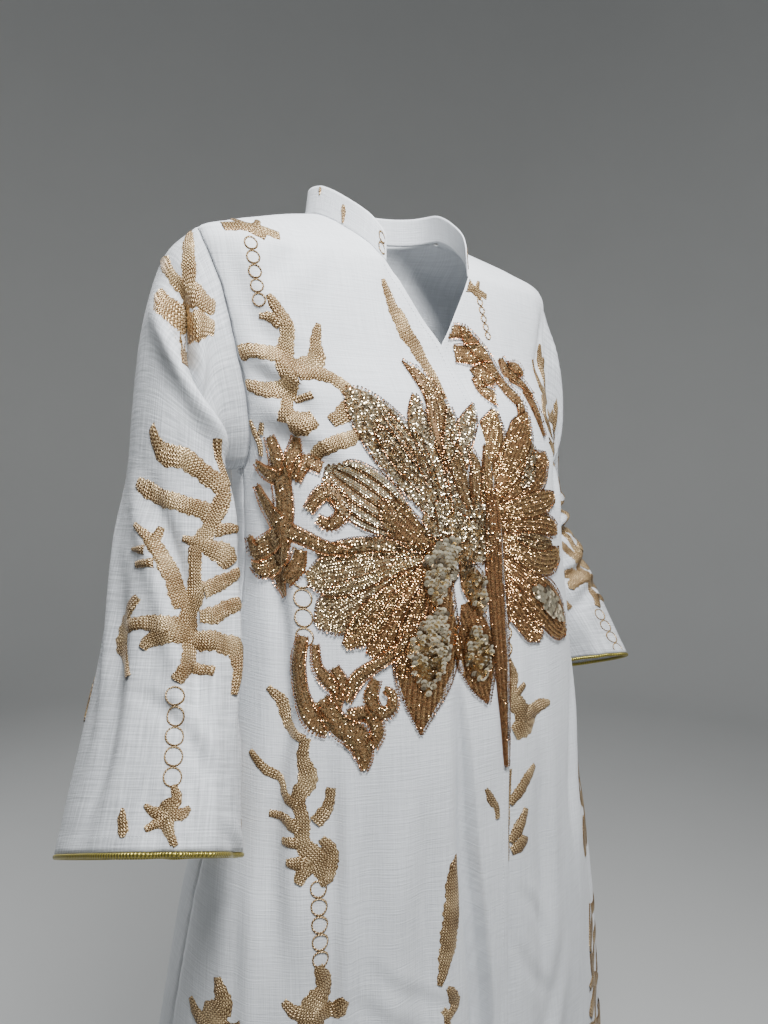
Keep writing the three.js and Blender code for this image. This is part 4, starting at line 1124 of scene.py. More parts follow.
# Petals by node: panel, then shapes of style, hue, tone and a line of (place, down, half width)
PETALS = {
    "petal_1": ("front_right", [
        ("silver", 0.15, 0.95, [(6, 178, 2), (-3, 191, 8), (-19, 209, 11), (-30, 230, 11),
                                (-36, 256, 8)]),
        ("rows", 0.4, 0.42, [(-14, 214, 2), (-9, 232, 7), (-11, 250, 8), (-16, 268, 4)]),
        ("fan", 0.55, 0.65, [(8, 214, 4), (6, 228, 7), (2, 244, 8), (-4, 264, 7)]),
    ]),
    "petal_2": ("front_right", [
        ("silver", 0.15, 0.95, [(-54, 172, 3), (-56, 184, 9), (-58, 200, 12), (-54, 222, 12),
                                (-48, 250, 8), (-46, 272, 6)]),
        ("rows", 0.4, 0.42, [(-52, 142, 1), (-45, 149, 5), (-38, 160, 8), (-34, 176, 10),
                            (-36, 197, 12), (-36, 218, 9), (-33, 240, 5)]),
        ("silver", 0.2, 0.95, [(-24, 182, 3), (-26, 196, 7), (-32, 212, 7), (-38, 226, 4)]),
        ("rows", 0.4, 0.42, [(-38, 204, 2), (-33, 219, 7), (-28, 236, 8), (-25, 252, 7),
                            (-21, 268, 3)]),
    ]),
    "petal_3": ("front_right", [
        ("silver", 0.15, 0.95, [(-118, 171, 3), (-111, 178, 13), (-99, 195, 21), (-86, 215, 24),
                                (-74, 236, 21), (-63, 258, 14), (-54, 274, 7)]),
        ("rows", 0.4, 0.42, [(-100, 200, 3), (-92, 212, 9), (-80, 230, 10), (-68, 250, 5)]),
        ("stripes", 0.3, 0.9, [(-88, 190, 3), (-80, 204, 6), (-70, 222, 6), (-60, 242, 3)]),
    ]),
    "petal_4": ("front_right", [
        ("stripes", 0.35, 1.0, [(-146, 234, 2), (-140, 241, 17), (-126, 252, 24), (-107, 266, 23),
                                (-90, 280, 15)]),
        ("rows", 0.6, 0.5, [(-106, 260, 2), (-97, 272, 13), (-84, 285, 14), (-70, 296, 9),
                            (-56, 302, 6)]),
    ]),
    "petal_5": ("front_right", [
        ("silver", 0.35, 0.7, [(-160, 306, 4), (-140, 301, 8), (-116, 298, 8), (-92, 300, 6),
                               (-68, 303, 4)]),
        ("fan", 0.35, 0.75, [(-170, 326, 5), (-158, 324, 15), (-138, 320, 17), (-112, 314, 12),
                             (-86, 309, 7), (-68, 306, 4)]),
    ]),
    "petal_6": ("front_right", [
        ("fan", 0.35, 0.65, [(-164, 362, 4), (-154, 356, 16), (-136, 345, 19), (-112, 329, 13),
                             (-88, 315, 7), (-70, 308, 4)]),
        ("fan", 0.65, 0.6, [(-142, 378, 3), (-132, 370, 10), (-118, 354, 12), (-102, 336, 8),
                            (-84, 320, 4)]),
    ]),
    "petal_7": ("front_right", [
        ("fan", 0.75, 0.6, [(-122, 386, 4), (-112, 374, 12), (-100, 354, 11), (-86, 332, 7),
                            (-72, 314, 4)]),
        ("rows", 0.7, 0.5, [(-98, 404, 3), (-93, 386, 9), (-86, 362, 9), (-76, 338, 5)]),
    ]),
    "petal_8": ("front_right", [
        ("rows", 0.72, 0.6, [(-56, 312, 8), (-61, 335, 17), (-67, 360, 26), (-72, 385, 31),
                             (-76, 409, 27), (-79, 431, 15), (-81, 453, 1)]),
        ("scales", 0.2, 1.0, [(-58, 352, 6), (-66, 368, 16), (-71, 386, 21), (-73, 402, 16),
                              (-74, 420, 4)]),
    ]),
    "petal_9": ("front_right", [
        ("rows", 0.75, 0.55, [(-34, 348, 5), (-26, 372, 19), (-22, 396, 22), (-18, 418, 14),
                              (-12, 436, 2)]),
        ("scales", 0.2, 1.0, [(-27, 368, 5), (-23, 386, 15), (-21, 402, 14), (-18, 416, 5)]),
        ("scales", 0.25, 0.95, [(-34, 312, 5), (-26, 328, 13), (-20, 344, 11), (-16, 358, 3)]),
        ("rows", 0.8, 0.5, [(4, 252, 8), (3, 285, 10), (1, 320, 11), (2, 360, 10), (4, 405, 8),
                           (6, 450, 5), (9, 496, 2)]),
    ]),
    "petal_10": ("front_left", [
        ("fan", 0.55, 0.7, [(33, 181, 4), (26, 197, 14), (17, 214, 14), (7, 236, 12),
                            (-4, 262, 9)]),
        ("fan", 0.7, 0.65, [(84, 182, 4), (68, 200, 17), (47, 219, 17), (26, 239, 13),
                            (4, 262, 9)]),
    ]),
    "petal_11": ("front_left", [
        ("fan", 0.75, 0.6, [(108, 222, 5), (86, 232, 17), (62, 243, 18), (34, 257, 13),
                            (4, 270, 8)]),
        ("silver", 0.2, 0.6, [(80, 212, 4), (72, 226, 9), (60, 240, 9), (46, 250, 4)]),
        ("fan", 0.7, 0.6, [(112, 260, 4), (88, 264, 10), (60, 267, 11), (32, 270, 9),
                           (2, 274, 7)]),
    ]),
    "petal_12": ("front_left", [
        ("fan", 0.75, 0.6, [(110, 292, 5), (96, 288, 9), (70, 284, 10), (38, 282, 9),
                            (2, 284, 7)]),
        ("fan", 0.65, 0.6, [(112, 316, 7), (92, 320, 13), (62, 316, 15), (32, 304, 12),
                            (2, 294, 7)]),
        ("rows", 0.4, 0.35, [(92, 304, 4), (72, 302, 8), (50, 298, 7), (32, 294, 4)]),
    ]),
    "petal_13": ("front_left", [
        ("fan", 0.8, 0.6, [(126, 396, 3), (108, 382, 19), (82, 364, 24), (52, 345, 20),
                           (26, 326, 13), (2, 308, 8)]),
        ("scales", 0.2, 0.9, [(112, 380, 4), (92, 366, 11), (70, 353, 11), (50, 343, 4)]),
    ]),
    "petal_14": ("front_left", [
        ("fan", 0.8, 0.6, [(62, 390, 4), (50, 380, 12), (36, 364, 14), (20, 344, 11), (4, 320, 7)]),
    ]),
    "flower_heart": ("front_right", [
        ("silver", 0.1, 0.9, [(-70, 282, 8), (-56, 280, 17), (-36, 276, 20), (-16, 276, 18),
                              (2, 278, 10)]),
        ("silver", 0.2, 0.85, [(-52, 262, 8), (-34, 292, 20), (-12, 300, 16), (6, 300, 10)]),
        ("scales", 0.15, 1.0, [(-40, 292, 4), (-50, 304, 14), (-58, 318, 18), (-62, 334, 12),
                               (-64, 348, 4)]),
    ]),
}


def plate(panel, line, height, hue):
    """A domed ground under the sequins, its rim turned down to the cloth."""
    ground = strip(panel, line, 2.2, 7, height, 0.0)
    field = np.full(len(ground[0]), float(hue))
    return (*ground[:3], {"hue": field, "tone": 0 * field})


def sequin_shape(sides, inner, cup):
    """A round cup with a small hole: an outer ring, and an inner ring set lower."""
    turn = np.linspace(0, 2 * math.pi, sides, endpoint=False)
    rim = np.stack([np.cos(turn), np.sin(turn), 0 * turn], -1)
    hole = np.stack([inner * np.cos(turn), inner * np.sin(turn), 0 * turn - cup], -1)
    k = np.arange(sides)
    quads = np.stack([k, (k + 1) % sides, sides + (k + 1) % sides, sides + k], -1)
    return np.concatenate([rim, hole]), quads


SMALL_SEQUIN = sequin_shape(7, 0.3, 0.34)
LARGE_SEQUIN = sequin_shape(9, 0.16, 0.16)


def sequins(panel, place, down, direction, lift, radius, tilt, shape, random, spread, hue, tone):
    """Copies of a sequin on the cloth: each lies on the normal, tilted along its row by an angle
    plus a random part, with a hue and a tone that vary a little."""
    keep = on_panel(panel, place, down)
    count = int(keep.sum())
    place, down, direction = place[keep], down[keep], direction[keep]
    lift, radius, hue, tone = [np.broadcast_to(np.asarray(value, float), keep.shape)[keep]
                               for value in (lift, radius, hue, tone)]
    centre = skin(panel, place, down, lift)
    normal = outward(panel, place, down, skin, 1.5)
    ahead = skin(panel, place + direction[:, 0], down + direction[:, 1], lift) - centre
    ahead = unit(ahead - normal * (ahead * normal).sum(-1, keepdims=True))
    cross = np.cross(normal, ahead)
    nod, roll = tilt + random.normal(0, spread, count), random.normal(0, spread, count)
    axis = unit(normal + ahead * np.sin(nod)[:, None] + cross * np.sin(roll)[:, None])
    first = unit(ahead - axis * (ahead * axis).sum(-1, keepdims=True))
    second = np.cross(axis, first)
    corners, quads = shape
    local = corners[None] * radius[:, None, None]
    points = (centre[:, None] + local[..., :1] * first[:, None] + local[..., 1:2] * second[:, None]
              + local[..., 2:] * axis[:, None])
    faces = quads[None] + (np.arange(count) * len(corners))[:, None, None]
    hue = np.clip(hue + random.normal(0, 0.06, count), 0, 1)
    tone = np.clip(tone + random.normal(0, 0.1, count), 0.03, 1)
    fields = {"hue": np.repeat(hue, len(corners)), "tone": np.repeat(tone, len(corners))}
    return points.reshape(-1, 3), faces.reshape(-1, 4), np.zeros((count * len(corners), 2)), fields


def lay_rows(line, pitch, step, fans):
    """Places for sequins on a shape round a line: rows beside each other, every second row half a
    step on. Rows that fan keep their share of the width and drop out in turn where it narrows;
    others run parallel and end at the rim. Returns places, directions and row numbers."""
    line = line_through(line, step / 2)
    side = sideways(line)
    half = np.maximum(line[:, 2], 0.1)[:, None]
    count = max(3, int(2 * half.max() / pitch))
    row = np.arange(count)[None, :]
    if fans:
        offset = ((row + 0.5) / count * 2 - 1) * 0.93 * half
        room = 2 * half / count / pitch
        keep = (room > 0.72) | (row % 2 == 0) & (room > 0.36) | (row % 4 == 0)
    else:
        offset = (row - (count - 1) / 2) * pitch + 0 * half
        keep = np.abs(offset) < half - 0.45 * pitch
    index = np.arange(len(line))[:, None]
    keep = keep & ((index + row) % 2 == 0)
    place = (line[:, :1] + side[:, :1] * offset)[keep]
    down = (line[:, 1:2] + side[:, 1:] * offset)[keep]
    ahead = np.stack([side[:, 1], -side[:, 0]], -1)
    direction = np.broadcast_to(ahead[:, None], (*offset.shape, 2))[keep]
    return place, down, direction, np.broadcast_to(row, offset.shape)[keep]


def rim_beads(panel, line, lift, random, hue, tone):
    """A row of small beads along both sides of a shape."""
    line = line_through(line, 2.1)
    side = sideways(line)
    ahead = np.stack([side[:, 1], -side[:, 0]], -1)
    both = [line[:, :2] + sign * side * line[:, 2:3] for sign in (-1, 1)]
    both = np.concatenate(both)
    return sequins(panel, both[:, 0], both[:, 1], np.tile(ahead, (2, 1)), lift, 1.25, 0.1,
                   SMALL_SEQUIN, random, 0.2, hue, tone)


def fill(panel, style, hue, tone, line, lift, random):
    """The sequins of one shape in one of the styles: scattered pale sequins, bright and dark
    stripes, parallel or fanned rows of small ones, or large cups that overlap like scales."""
    if style == "scales":
        place, down, ahead, _ = lay_rows(line, 4.4, 3.7, False)
        # Painted reflection: some scales are darkened at random, as if they caught no light.
        return sequins(panel, place, down, ahead, lift + 1.2, 3.0, 0.5, LARGE_SEQUIN, random, 0.2,
                       0.3 * hue, tone * random.choice([0.4, 0.9, 1.0, 1.0], len(place)))
    if style == "silver":
        place, down, ahead, _ = lay_rows(line, 2.5, 2.7, False)
        place = place + random.normal(0, 0.45, len(place))
        radius = random.uniform(1.35, 1.95, len(place))
        tone = tone * random.choice([0.35, 0.8, 1.0, 1.0], len(place))
        return sequins(panel, place, down, ahead, lift + 0.4, radius, 0.1, SMALL_SEQUIN, random,
                       0.42, hue, tone)
    if style == "stripes":
        place, down, ahead, row = lay_rows(line, 2.3, 2.3, True)
        bright = row % 4 < 2
        return sequins(panel, place, down, ahead, lift, np.where(bright, 1.75, 1.2), 0.2,
                       SMALL_SEQUIN, random, 0.1, np.where(bright, hue - 0.25, 0.75),
                       np.where(bright, tone, 0.14))
    place, down, ahead, row = lay_rows(line, 2.35, 2.2, style == "fan")
    tones = tone * np.where(row % 2 == 0, 1.3, 0.5)
    return sequins(panel, place, down, ahead, lift, 1.2, 0.2, SMALL_SEQUIN, random, 0.24, hue, tones)


def make_petal(name, materials, random):
    """One petal of several shapes, each a ground with its sequins and a beaded rim."""
    panel, shapes = PETALS[name]
    grounds, cups = [], []
    for k, (style, hue, tone, line) in enumerate(shapes):
        height = 1.1 + 0.35 * k
        grounds.append(plate(panel, line, height, hue))
        cups.append(fill(panel, style, hue, tone, line, height + 0.5, random))
        cups.append(rim_beads(panel, line, height + 0.8, random, 1.0, 0.32))
    return embroidered(name + "_sequins", grounds, cups, materials)


def embroidered(name, grounds, cups, materials):
    """A piece of stitched grounds in the first material and sequins in the second."""
    points, faces, uv, fields = joined(grounds + cups)
    ground_faces = sum(len(part[1]) for part in grounds)
    return add_object(name, points, [faces], materials, uv, fields,
                      np.arange(len(faces)) >= ground_faces)


# Scrolled sprays: panel, place, down, width and height of the unit, slant, and limbs
SPRAYS = {
    "spray_side": ("front_right", -220, 207, 0.98, 0.82, -0.1, [
        [(29, 4, 5), (35, 24, 8), (39, 48, 10), (42, 74, 10), (39, 98, 12), (35, 128, 14),
         (38, 148, 10), (44, 164, 3)],
        [(54, 4, 4), (50, 24, 8), (46, 44, 8)],
        [(74, 34, 6), (60, 28, 7), (52, 46, 6)],
        [(64, 76, 5), (76, 58, 7), (88, 62, 7), (92, 78, 6), (82, 90, 6), (72, 84, 4)],
        [(12, 54, 4), (22, 72, 8), (35, 90, 10)],
        [(0, 108, 5), (8, 122, 9), (22, 114, 10), (36, 104, 9)],
        [(6, 136, 4), (18, 140, 8), (32, 132, 9)],
        [(48, 98, 8), (62, 104, 7), (78, 112, 6), (100, 116, 4)],
        [(58, 116, 6), (56, 132, 8), (46, 146, 9)],
        [(14, 30, 3), (22, 38, 6), (34, 44, 7)],
    ]),
    "spray_lower": ("front_right", -188, 375, 0.83, 0.81, 0.0, [
        [(15, -4, 5), (8, 26, 9), (12, 56, 9), (24, 80, 10), (36, 88, 8)],
        [(26, 4, 4), (28, 26, 5), (36, 38, 7), (46, 50, 6), (42, 66, 7)],
        [(30, 58, 8), (46, 82, 12), (64, 96, 13), (70, 114, 9), (70, 128, 3)],
        [(44, 26, 5), (52, 42, 6), (50, 56, 5)],
        [(56, 74, 7), (74, 72, 7), (84, 90, 7), (78, 104, 6)],
        [(54, 58, 5), (66, 36, 7), (86, 22, 6), (108, 8, 6), (118, -6, 4)],
        [(84, 38, 5), (78, 56, 7), (86, 72, 7), (98, 68, 6), (100, 54, 5), (92, 48, 3)],
    ]),
    "spray_upper": ("front_left", 8, 104, 1.5, 0.95, -0.3, [
        [(1, 7, 5), (14, 5, 6), (22, 14, 8), (33, 27, 8), (42, 43, 7), (52, 60, 7), (62, 71, 7),
         (61, 90, 5)],
        [(14, 0, 4), (17, 10, 5)],
        [(8, 27, 6), (18, 27, 8), (29, 23, 7)],
        [(22, 50, 7), (34, 44, 9), (42, 38, 6)],
        [(36, 68, 7), (27, 62, 6), (23, 50, 5)],
        [(49, 26, 4), (55, 38, 7), (68, 34, 6), (74, 38, 3)],
        [(56, 42, 6), (70, 50, 5), (80, 62, 4)],
        [(70, 56, 3), (80, 74, 6), (90, 102, 2)],
    ]),
}


def make_spray(name, materials, random):
    """A scrolled spray: raised limbs of gold stitches, each outlined in copper beads."""
    panel, place, down, wide, tall, slant, limbs = SPRAYS[name]
    grounds, beads = [], []
    for k, line in enumerate(placed(limbs, place, down, wide, tall, slant, False)):
        height = 1.2 + 0.12 * k
        grounds.append(plate(panel, line, height, 0.35))
        beads.append(rim_beads(panel, line, height + 0.7, random, 1.0, 0.75))
        spots, along, ahead, row = lay_rows(line, 2.4, 2.5, False)
        tones = 0.42 * np.where(row % 2 == 0, 1.2, 0.6)
        beads.append(sequins(panel, spots, along, ahead, height + 0.3, 1.25, 0.2, SMALL_SEQUIN,
                             random, 0.24, 0.45, tones))
    return embroidered(name + "_sequins", grounds, beads, materials)


# Cords and stitches

def make_cord(panel, name, material):
    """A round cord along the cuff: circles of its radius round the last ring of the sleeve."""
    rows, columns = 220, 10
    radius, gap, step = 1.9, 0.2, 6.0
    length = SLEEVE_ALONG[panel][-1]
    turn = np.linspace(-math.pi, math.pi, rows, endpoint=False)
    place = turn * SLEEVE_RADIUS[panel][-1]
    edge = skin(panel, place, np.full(rows, length), -WALL / 2)
    before = skin(panel, place, np.full(rows, length - step), -WALL / 2)
    away = unit(edge - before)
    along = unit(np.roll(edge, -1, 0) - np.roll(edge, 1, 0))
    across = np.cross(along, away)
    angle = np.linspace(0, 2 * math.pi, columns, endpoint=False)
    centre = edge + away * (radius + gap)
    points = centre[:, None] + radius * (np.cos(angle)[None, :, None] * away[:, None]
                                         + np.sin(angle)[None, :, None] * across[:, None])
    arc = np.concatenate([[0], np.cumsum(np.linalg.norm(np.diff(centre, axis=0), axis=1))])
    uv = np.stack(np.broadcast_arrays(arc[:, None], angle[None, :] * radius), -1).reshape(-1, 2)
    r = np.arange(rows)[:, None]
    c = np.arange(columns)[None, :]
    quads = np.stack([r * columns + c, (r + 1) % rows * columns + c,
                      (r + 1) % rows * columns + (c + 1) % columns, r * columns + (c + 1) % columns],
                     -1).reshape(-1, 4)
    return add_object(name, points.reshape(-1, 3), [quads], [material], uv)


def stitch_row(panel, place, down, pitch=3.2):
    """Small raised stitches along a line on the cloth: each an eight-sided grain."""
    line = np.stack([place, down], -1)
    length = np.concatenate([[0], np.cumsum(np.hypot(*np.diff(line, axis=0).T))])
    even = np.arange(0, length[-1], pitch)
    x, y = np.interp(even, length, place), np.interp(even, length, down)
    direction = np.stack([np.gradient(x), np.gradient(y)], -1)
    direction = direction / np.maximum(np.hypot(*direction.T)[:, None], 1e-6)
    centre = skin(panel, x, y, 0.15)
    normal = outward(panel, x, y, skin, 1.5)
    ahead = unit(skin(panel, x + direction[:, 0], y + direction[:, 1], 0.15) - centre)
    cross = np.cross(normal, ahead)
    corners = np.array([(-1, 0, 0), (0, 0.28, 0), (1, 0, 0), (0, -0.28, 0), (0, 0, 0.3), (0, 0, -0.3)])
    tris = np.array([(0, 3, 4), (3, 2, 4), (2, 1, 4), (1, 0, 4), (3, 0, 5), (2, 3, 5), (1, 2, 5),
                     (0, 1, 5)])
    points = (centre[:, None] + 1.1 * (corners[None, :, :1] * ahead[:, None]
              + corners[None, :, 1:2] * cross[:, None] + corners[None, :, 2:] * normal[:, None]))
    faces = tris[None] + (np.arange(len(x)) * 6)[:, None, None]
    return points.reshape(-1, 3), faces.reshape(-1, 3), np.zeros((len(x) * 6, 2)), {}


def make_stitches(panel, material):
    """The sewing that shows on a panel: along its hem, its free edge or its cuff."""
    parts = []
    if panel.startswith("sleeve"):
        length = SLEEVE_ALONG[panel][-1]
        turn = np.linspace(-math.pi, math.pi, 200)
        parts.append(stitch_row(panel, turn * SLEEVE_RADIUS[panel][-1], np.full(200, length - 10.5)))
    else:
        low, high = limits(panel, np.array([HEM - 22.0]))
        place = np.linspace(low[0] + 2, high[0] - 2, 200)
        parts.append(stitch_row(panel, place, np.full(200, HEM - 22.0)))
    if panel.startswith("front"):
        down = np.linspace(58, HEM - 4, 400)
        low, high = limits(panel, down)
        place = high - 6 if panel == "front_right" else low + 6
        parts.append(stitch_row(panel, place, down))
    points, faces, uv, _ = joined(parts)
    return add_object(f"stitches_{panel}", points, [faces], [material], uv)


# Stage

def make_stage(colour):
    """A floor that curves up into a round wall: a quarter circle joins the two."""
    floor = -1520.0
    inner, bend, top = 3600.0, 1200.0, 7000.0
    angle = np.linspace(0, math.pi / 2, 14)
    reach = np.concatenate([[1.0, 900.0, 2000.0], inner + bend * np.sin(angle), [inner + bend]])
    height = np.concatenate([[0.0, 0.0, 0.0], bend - bend * np.cos(angle), [top]]) + floor
    turn = np.linspace(0, 2 * math.pi, 96, endpoint=False)
    points = np.stack([reach[:, None] * np.cos(turn), reach[:, None] * np.sin(turn),
                       height[:, None] + 0 * turn], -1)
    shader = Shader("Studio paper", Roughness=0.9)
    place = shader.node("ShaderNodeTexCoord").outputs["Object"]
    grain = shader.noise(place, 3.0, 2.0)
    shade = tuple(0.96 * c for c in colour)
    shader.set("Base Color", shader.mix(grain, rgba(shade), rgba(colour)))
    faces = grid_faces(len(reach), 96, wraps=True)
    obj = add_object("floor_and_wall", points.reshape(-1, 3), [faces], [shader.material])
    return obj


def add_area_light(name, place, aim, size, power, colour):
    """A round soft light at a place, turned towards its aim."""
    data = bpy.data.lights.new(name, "AREA")
    data.shape, data.size, data.energy, data.color = "DISK", size, power, colour
    light = bpy.data.objects.new(name, data)
    light.location = place
    light.visible_camera = False
    back = np.array(place, float) - np.array(aim, float)
    light.rotation_euler = Vector(back).to_track_quat("Z", "Y").to_euler()
    bpy.context.scene.collection.objects.link(light)


def add_camera():
    """The camera stands before the wearer's right shoulder, level with the chest."""
    turn, pitch, roll = math.radians(-37), math.radians(-4), math.radians(1.2)
    aim, distance = np.array([-0.005, -0.03, -0.225]), 0.77
    place = aim + distance * np.array([math.sin(turn), -math.cos(turn), 0])
    ahead = np.array([-math.sin(turn) * math.cos(pitch), math.cos(turn) * math.cos(pitch),
                      math.sin(pitch)])
    right = np.array([math.cos(turn), math.sin(turn), 0])
    up = np.cross(right, ahead)
    turned_right = math.cos(roll) * right + math.sin(roll) * up
    turned_up = -math.sin(roll) * right + math.cos(roll) * up
    data = bpy.data.cameras.new("camera")
    sensor, focal_pixels, image_height = 36.0, 785, 1024
    data.sensor_width = sensor
    data.lens = sensor * focal_pixels / image_height
    data.clip_start = 0.02
    camera = bpy.data.objects.new("camera", data)
    axes = np.stack([turned_right, turned_up, -ahead], 1)
    matrix = Matrix([[*axes[0], place[0]], [*axes[1], place[1]], [*axes[2], place[2]], [0, 0, 0, 1]])
    camera.matrix_world = matrix
    bpy.context.scene.collection.objects.link(camera)
    bpy.context.scene.camera = camera


# Add-on

class ClothSettings(bpy.types.PropertyGroup):
    colour: bpy.props.FloatVectorProperty(
        name="Cloth", description="Colour of the voile", subtype="COLOR", size=3, min=0, max=1,
        default=(0.765, 0.785, 0.81))
    thickness: bpy.props.FloatProperty(
        name="Thickness", description="Thickness of the cloth", unit="LENGTH", subtype="DISTANCE",
        default=0.0011, min=0.0005, max=0.0014)
    sleeve_opacity: bpy.props.FloatProperty(
        name="Sleeve opacity", description="How much of a sleeve's wall isn't seen through",
        subtype="FACTOR", default=0.72, min=0.2, max=1)


class TrimSettings(bpy.types.PropertyGroup):
    thread_light: bpy.props.FloatVectorProperty(
        name="Thread", description="Colour of the embroidery thread in the light", subtype="COLOR",
        size=3, min=0, max=1, default=(0.84, 0.62, 0.34))
    # The thread shade is painted shade: the colour given to the gaps between the stitches.
    thread_painted_shade: bpy.props.FloatVectorProperty(
        name="Thread shade", description="Colour between the stitches", subtype="COLOR",
        size=3, min=0, max=1, default=(0.12, 0.06, 0.02))
    gold: bpy.props.FloatVectorProperty(
        name="Gold sequins", description="Colour of the gold sequins", subtype="COLOR",
        size=3, min=0, max=1, default=(0.86, 0.62, 0.30))
    silver: bpy.props.FloatVectorProperty(
        name="Pale sequins", description="Colour of the pale sequins", subtype="COLOR",
        size=3, min=0, max=1, default=(0.90, 0.82, 0.62))
    copper: bpy.props.FloatVectorProperty(
        name="Copper sequins", description="Colour of the copper sequins", subtype="COLOR",
        size=3, min=0, max=1, default=(0.62, 0.28, 0.11))
    cord: bpy.props.FloatVectorProperty(
        name="Cord", description="Colour of the cuff cords", subtype="COLOR",
        size=3, min=0, max=1, default=(0.50, 0.42, 0.10))


class StageSettings(bpy.types.PropertyGroup):
    floor: bpy.props.FloatVectorProperty(
        name="Floor", description="Colour of the floor and wall", subtype="COLOR",
        size=3, min=0, max=1, default=(0.76, 0.76, 0.745))
    light: bpy.props.FloatProperty(
        name="Light", description="Strength of all the lights together", default=1.0, min=0, max=10)


def cloth_of(scene, sheer=False):
    """The voile, made once; the sleeves' is sheer."""
    name = "Sheer voile" if sheer else "Voile"
    settings = scene.jalabiya_cloth
    opacity = settings.sleeve_opacity if sheer else 1.0
    known = bpy.data.materials.get(name)
    return known or cloth_material(name, tuple(settings.colour), opacity, 2.6 if sheer else 1.7)


def thread_of(scene):
    """The embroidery thread, made once."""
    trim = scene.jalabiya_trim
    known = bpy.data.materials.get("Gold thread")
    return known or thread_material("Gold thread", tuple(trim.thread_light), tuple(trim.thread_painted_shade))


def sequins_of(scene):
    """The stitched ground and the sequins, made once."""
    trim = scene.jalabiya_trim
    ground, cups = bpy.data.materials.get("Stitched ground and painted shade"), bpy.data.materials.get("Sequins")
    if ground is None:
        # The ground's dark gold and copper are partly thread colour, partly painted shade between the
        # sequins.
        ground = backing_material("Stitched ground and painted shade", (0.35, 0.22, 0.09), (0.34, 0.13, 0.05))
        # The dark end of the sequins' tone, also the painted reflection of scales darkened at random.
        cups = sequin_material("Sequins", tuple(trim.silver), tuple(trim.gold), tuple(trim.copper),
                               (0.10, 0.045, 0.015))
    return [ground, cups]


def cad_nodes(prefix):
    """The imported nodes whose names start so."""
    return [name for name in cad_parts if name.startswith(prefix)]


class JALABIYA_OT_panels(bpy.types.Operator):
    """Add the two fronts and the back"""

    bl_idname = "jalabiya.panels"
    bl_label = "Fronts and back"

    def execute(self, context):
        settings = context.scene.jalabiya_cloth
        for panel in PANELS:
            obj = make_panel(panel, cloth_of(context.scene), settings.thickness / MM)
            finish_piece(obj, "cloth", *cad_nodes(panel + "_"))
        return {"FINISHED"}


class JALABIYA_OT_sleeves(bpy.types.Operator):
    """Add the two sleeves"""

    bl_idname = "jalabiya.sleeves"
    bl_label = "Sleeves"

    def execute(self, context):
        settings = context.scene.jalabiya_cloth
        for panel in SLEEVES:
            obj = make_sleeve(panel, cloth_of(context.scene, True), settings.thickness / MM)
            finish_piece(obj, "cloth", *cad_nodes(panel + "_"))
        return {"FINISHED"}


class JALABIYA_OT_collar(bpy.types.Operator):
    """Add the band collar"""

    bl_idname = "jalabiya.collar"
    bl_label = "Collar"

    def execute(self, context):
        settings = context.scene.jalabiya_cloth
        obj = make_collar(cloth_of(context.scene), settings.thickness / MM)
        finish_piece(obj, "cloth", "collar")
        return {"FINISHED"}


class JALABIYA_OT_cords(bpy.types.Operator):
    """Add the gold cords on the cuffs"""

    bl_idname = "jalabiya.cords"
    bl_label = "Cuff cords"

    def execute(self, context):
        material = cord_material("Gold cord", tuple(context.scene.jalabiya_trim.cord))
        for panel in SLEEVES:
            name = panel.replace("sleeve", "cuff_cord")
            finish_piece(make_cord(panel, name + "_wound", material), "gold_cord", name)
        return {"FINISHED"}


class JALABIYA_OT_branches(bpy.types.Operator):
    """Add the chain-stitch branches and rings"""

    bl_idname = "jalabiya.branches"
    bl_label = "Branches"

    def execute(self, context):
        for panel in BANDS:
            finish_piece(make_branches(panel, thread_of(context.scene)), "gold_thread")
        return {"FINISHED"}


class JALABIYA_OT_flower(bpy.types.Operator):
    """Add the sequinned flower"""

    bl_idname = "jalabiya.flower"
    bl_label = "Flower"

    def execute(self, context):
        random = np.random.default_rng(7)
        materials = sequins_of(context.scene)
        for name, (panel, _) in PETALS.items():
            slot = "copper_sequins" if panel == "front_left" else "gold_sequins"
            finish_piece(make_petal(name, materials, random), slot, name)
        return {"FINISHED"}


class JALABIYA_OT_sprays(bpy.types.Operator):
    """Add the scrolled sprays"""

    bl_idname = "jalabiya.sprays"
    bl_label = "Sprays"

    def execute(self, context):
        random = np.random.default_rng(11)
        for name in SPRAYS:
            obj = make_spray(name, sequins_of(context.scene), random)
            finish_piece(obj, "copper_sequins", name)
        return {"FINISHED"}


class JALABIYA_OT_stitches(bpy.types.Operator):
    """Add the sewing along the hems and edges"""

    bl_idname = "jalabiya.stitches"
    bl_label = "Stitches"

    def execute(self, context):
        for panel in (*PANELS, *SLEEVES):
            finish_piece(make_stitches(panel, cloth_of(context.scene)), "cloth")
        return {"FINISHED"}


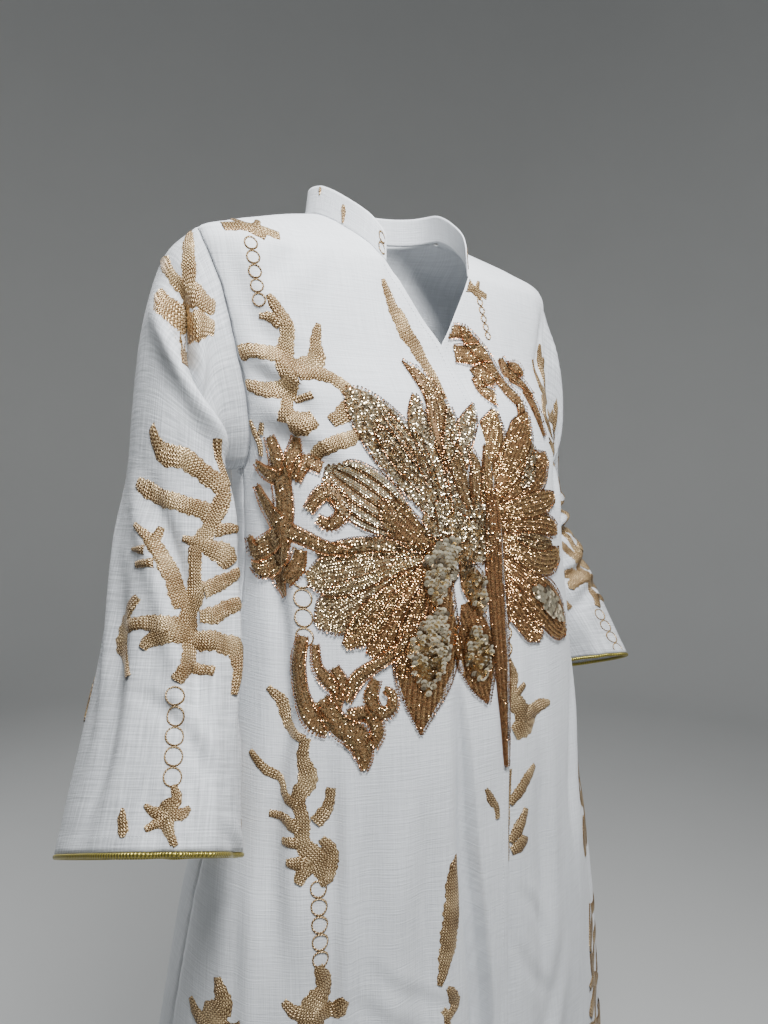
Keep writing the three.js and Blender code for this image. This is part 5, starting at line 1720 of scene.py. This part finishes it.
class JALABIYA_OT_stage(bpy.types.Operator):
    """Add the floor, the lights and the camera"""

    bl_idname = "jalabiya.stage"
    bl_label = "Stage"

    def execute(self, context):
        settings = context.scene.jalabiya_stage
        make_stage(tuple(settings.floor))
        aim = (0.0, -0.1, -0.35)
        add_area_light("key", (-0.28, -0.66, 0.58), aim, 0.4, 34 * settings.light, (0.96, 0.98, 1))
        add_area_light("top", (0.3, -0.5, 0.95), aim, 0.6, 8 * settings.light, (0.96, 0.98, 1))
        add_area_light("fill", (2.2, -1.4, 0.3), aim, 2.0, 7 * settings.light, (1.0, 0.97, 0.93))
        add_area_light("back", (-0.9, 2.0, 0.9), aim, 1.2, 26 * settings.light, (0.96, 0.98, 1))
        world = bpy.data.worlds.new("soft room")
        world.use_nodes = True
        world.node_tree.nodes["Background"].inputs[0].default_value = (0.86, 0.92, 1.0, 1.0)
        world.node_tree.nodes["Background"].inputs[1].default_value = 0.15 * settings.light
        context.scene.world = world
        add_camera()
        return {"FINISHED"}


class JALABIYA_PT_panel(bpy.types.Panel):
    bl_idname = "JALABIYA_PT_panel"
    bl_label = "Jalabiya"
    bl_space_type = "VIEW_3D"
    bl_region_type = "UI"
    bl_category = "Jalabiya"

    def draw(self, context):
        layout = self.layout
        for group in ("jalabiya_cloth", "jalabiya_trim", "jalabiya_stage"):
            settings = getattr(context.scene, group)
            for name in type(settings).__annotations__:
                layout.prop(settings, name)
        for operator in OPERATORS:
            layout.operator(operator.bl_idname)


OPERATORS = (
    JALABIYA_OT_panels, JALABIYA_OT_sleeves, JALABIYA_OT_collar, JALABIYA_OT_cords,
    JALABIYA_OT_branches, JALABIYA_OT_flower, JALABIYA_OT_sprays, JALABIYA_OT_stitches,
    JALABIYA_OT_stage,
)
GROUPS = {
    "jalabiya_cloth": ClothSettings, "jalabiya_trim": TrimSettings, "jalabiya_stage": StageSettings,
}


def register():
    for cls in (*GROUPS.values(), *OPERATORS, JALABIYA_PT_panel):
        bpy.utils.register_class(cls)
    for name, group in GROUPS.items():
        setattr(bpy.types.Scene, name, bpy.props.PointerProperty(type=group))


def unregister():
    for name in GROUPS:
        delattr(bpy.types.Scene, name)
    for cls in reversed((*GROUPS.values(), *OPERATORS, JALABIYA_PT_panel)):
        bpy.utils.unregister_class(cls)


def main():
    """Builds every piece in order."""
    register()
    bpy.ops.jalabiya.panels()
    bpy.ops.jalabiya.sleeves()
    bpy.ops.jalabiya.collar()
    bpy.ops.jalabiya.cords()
    bpy.ops.jalabiya.branches()
    bpy.ops.jalabiya.flower()
    bpy.ops.jalabiya.sprays()
    bpy.ops.jalabiya.stitches()
    bpy.ops.jalabiya.stage()


if __name__ == "__main__":
    main()
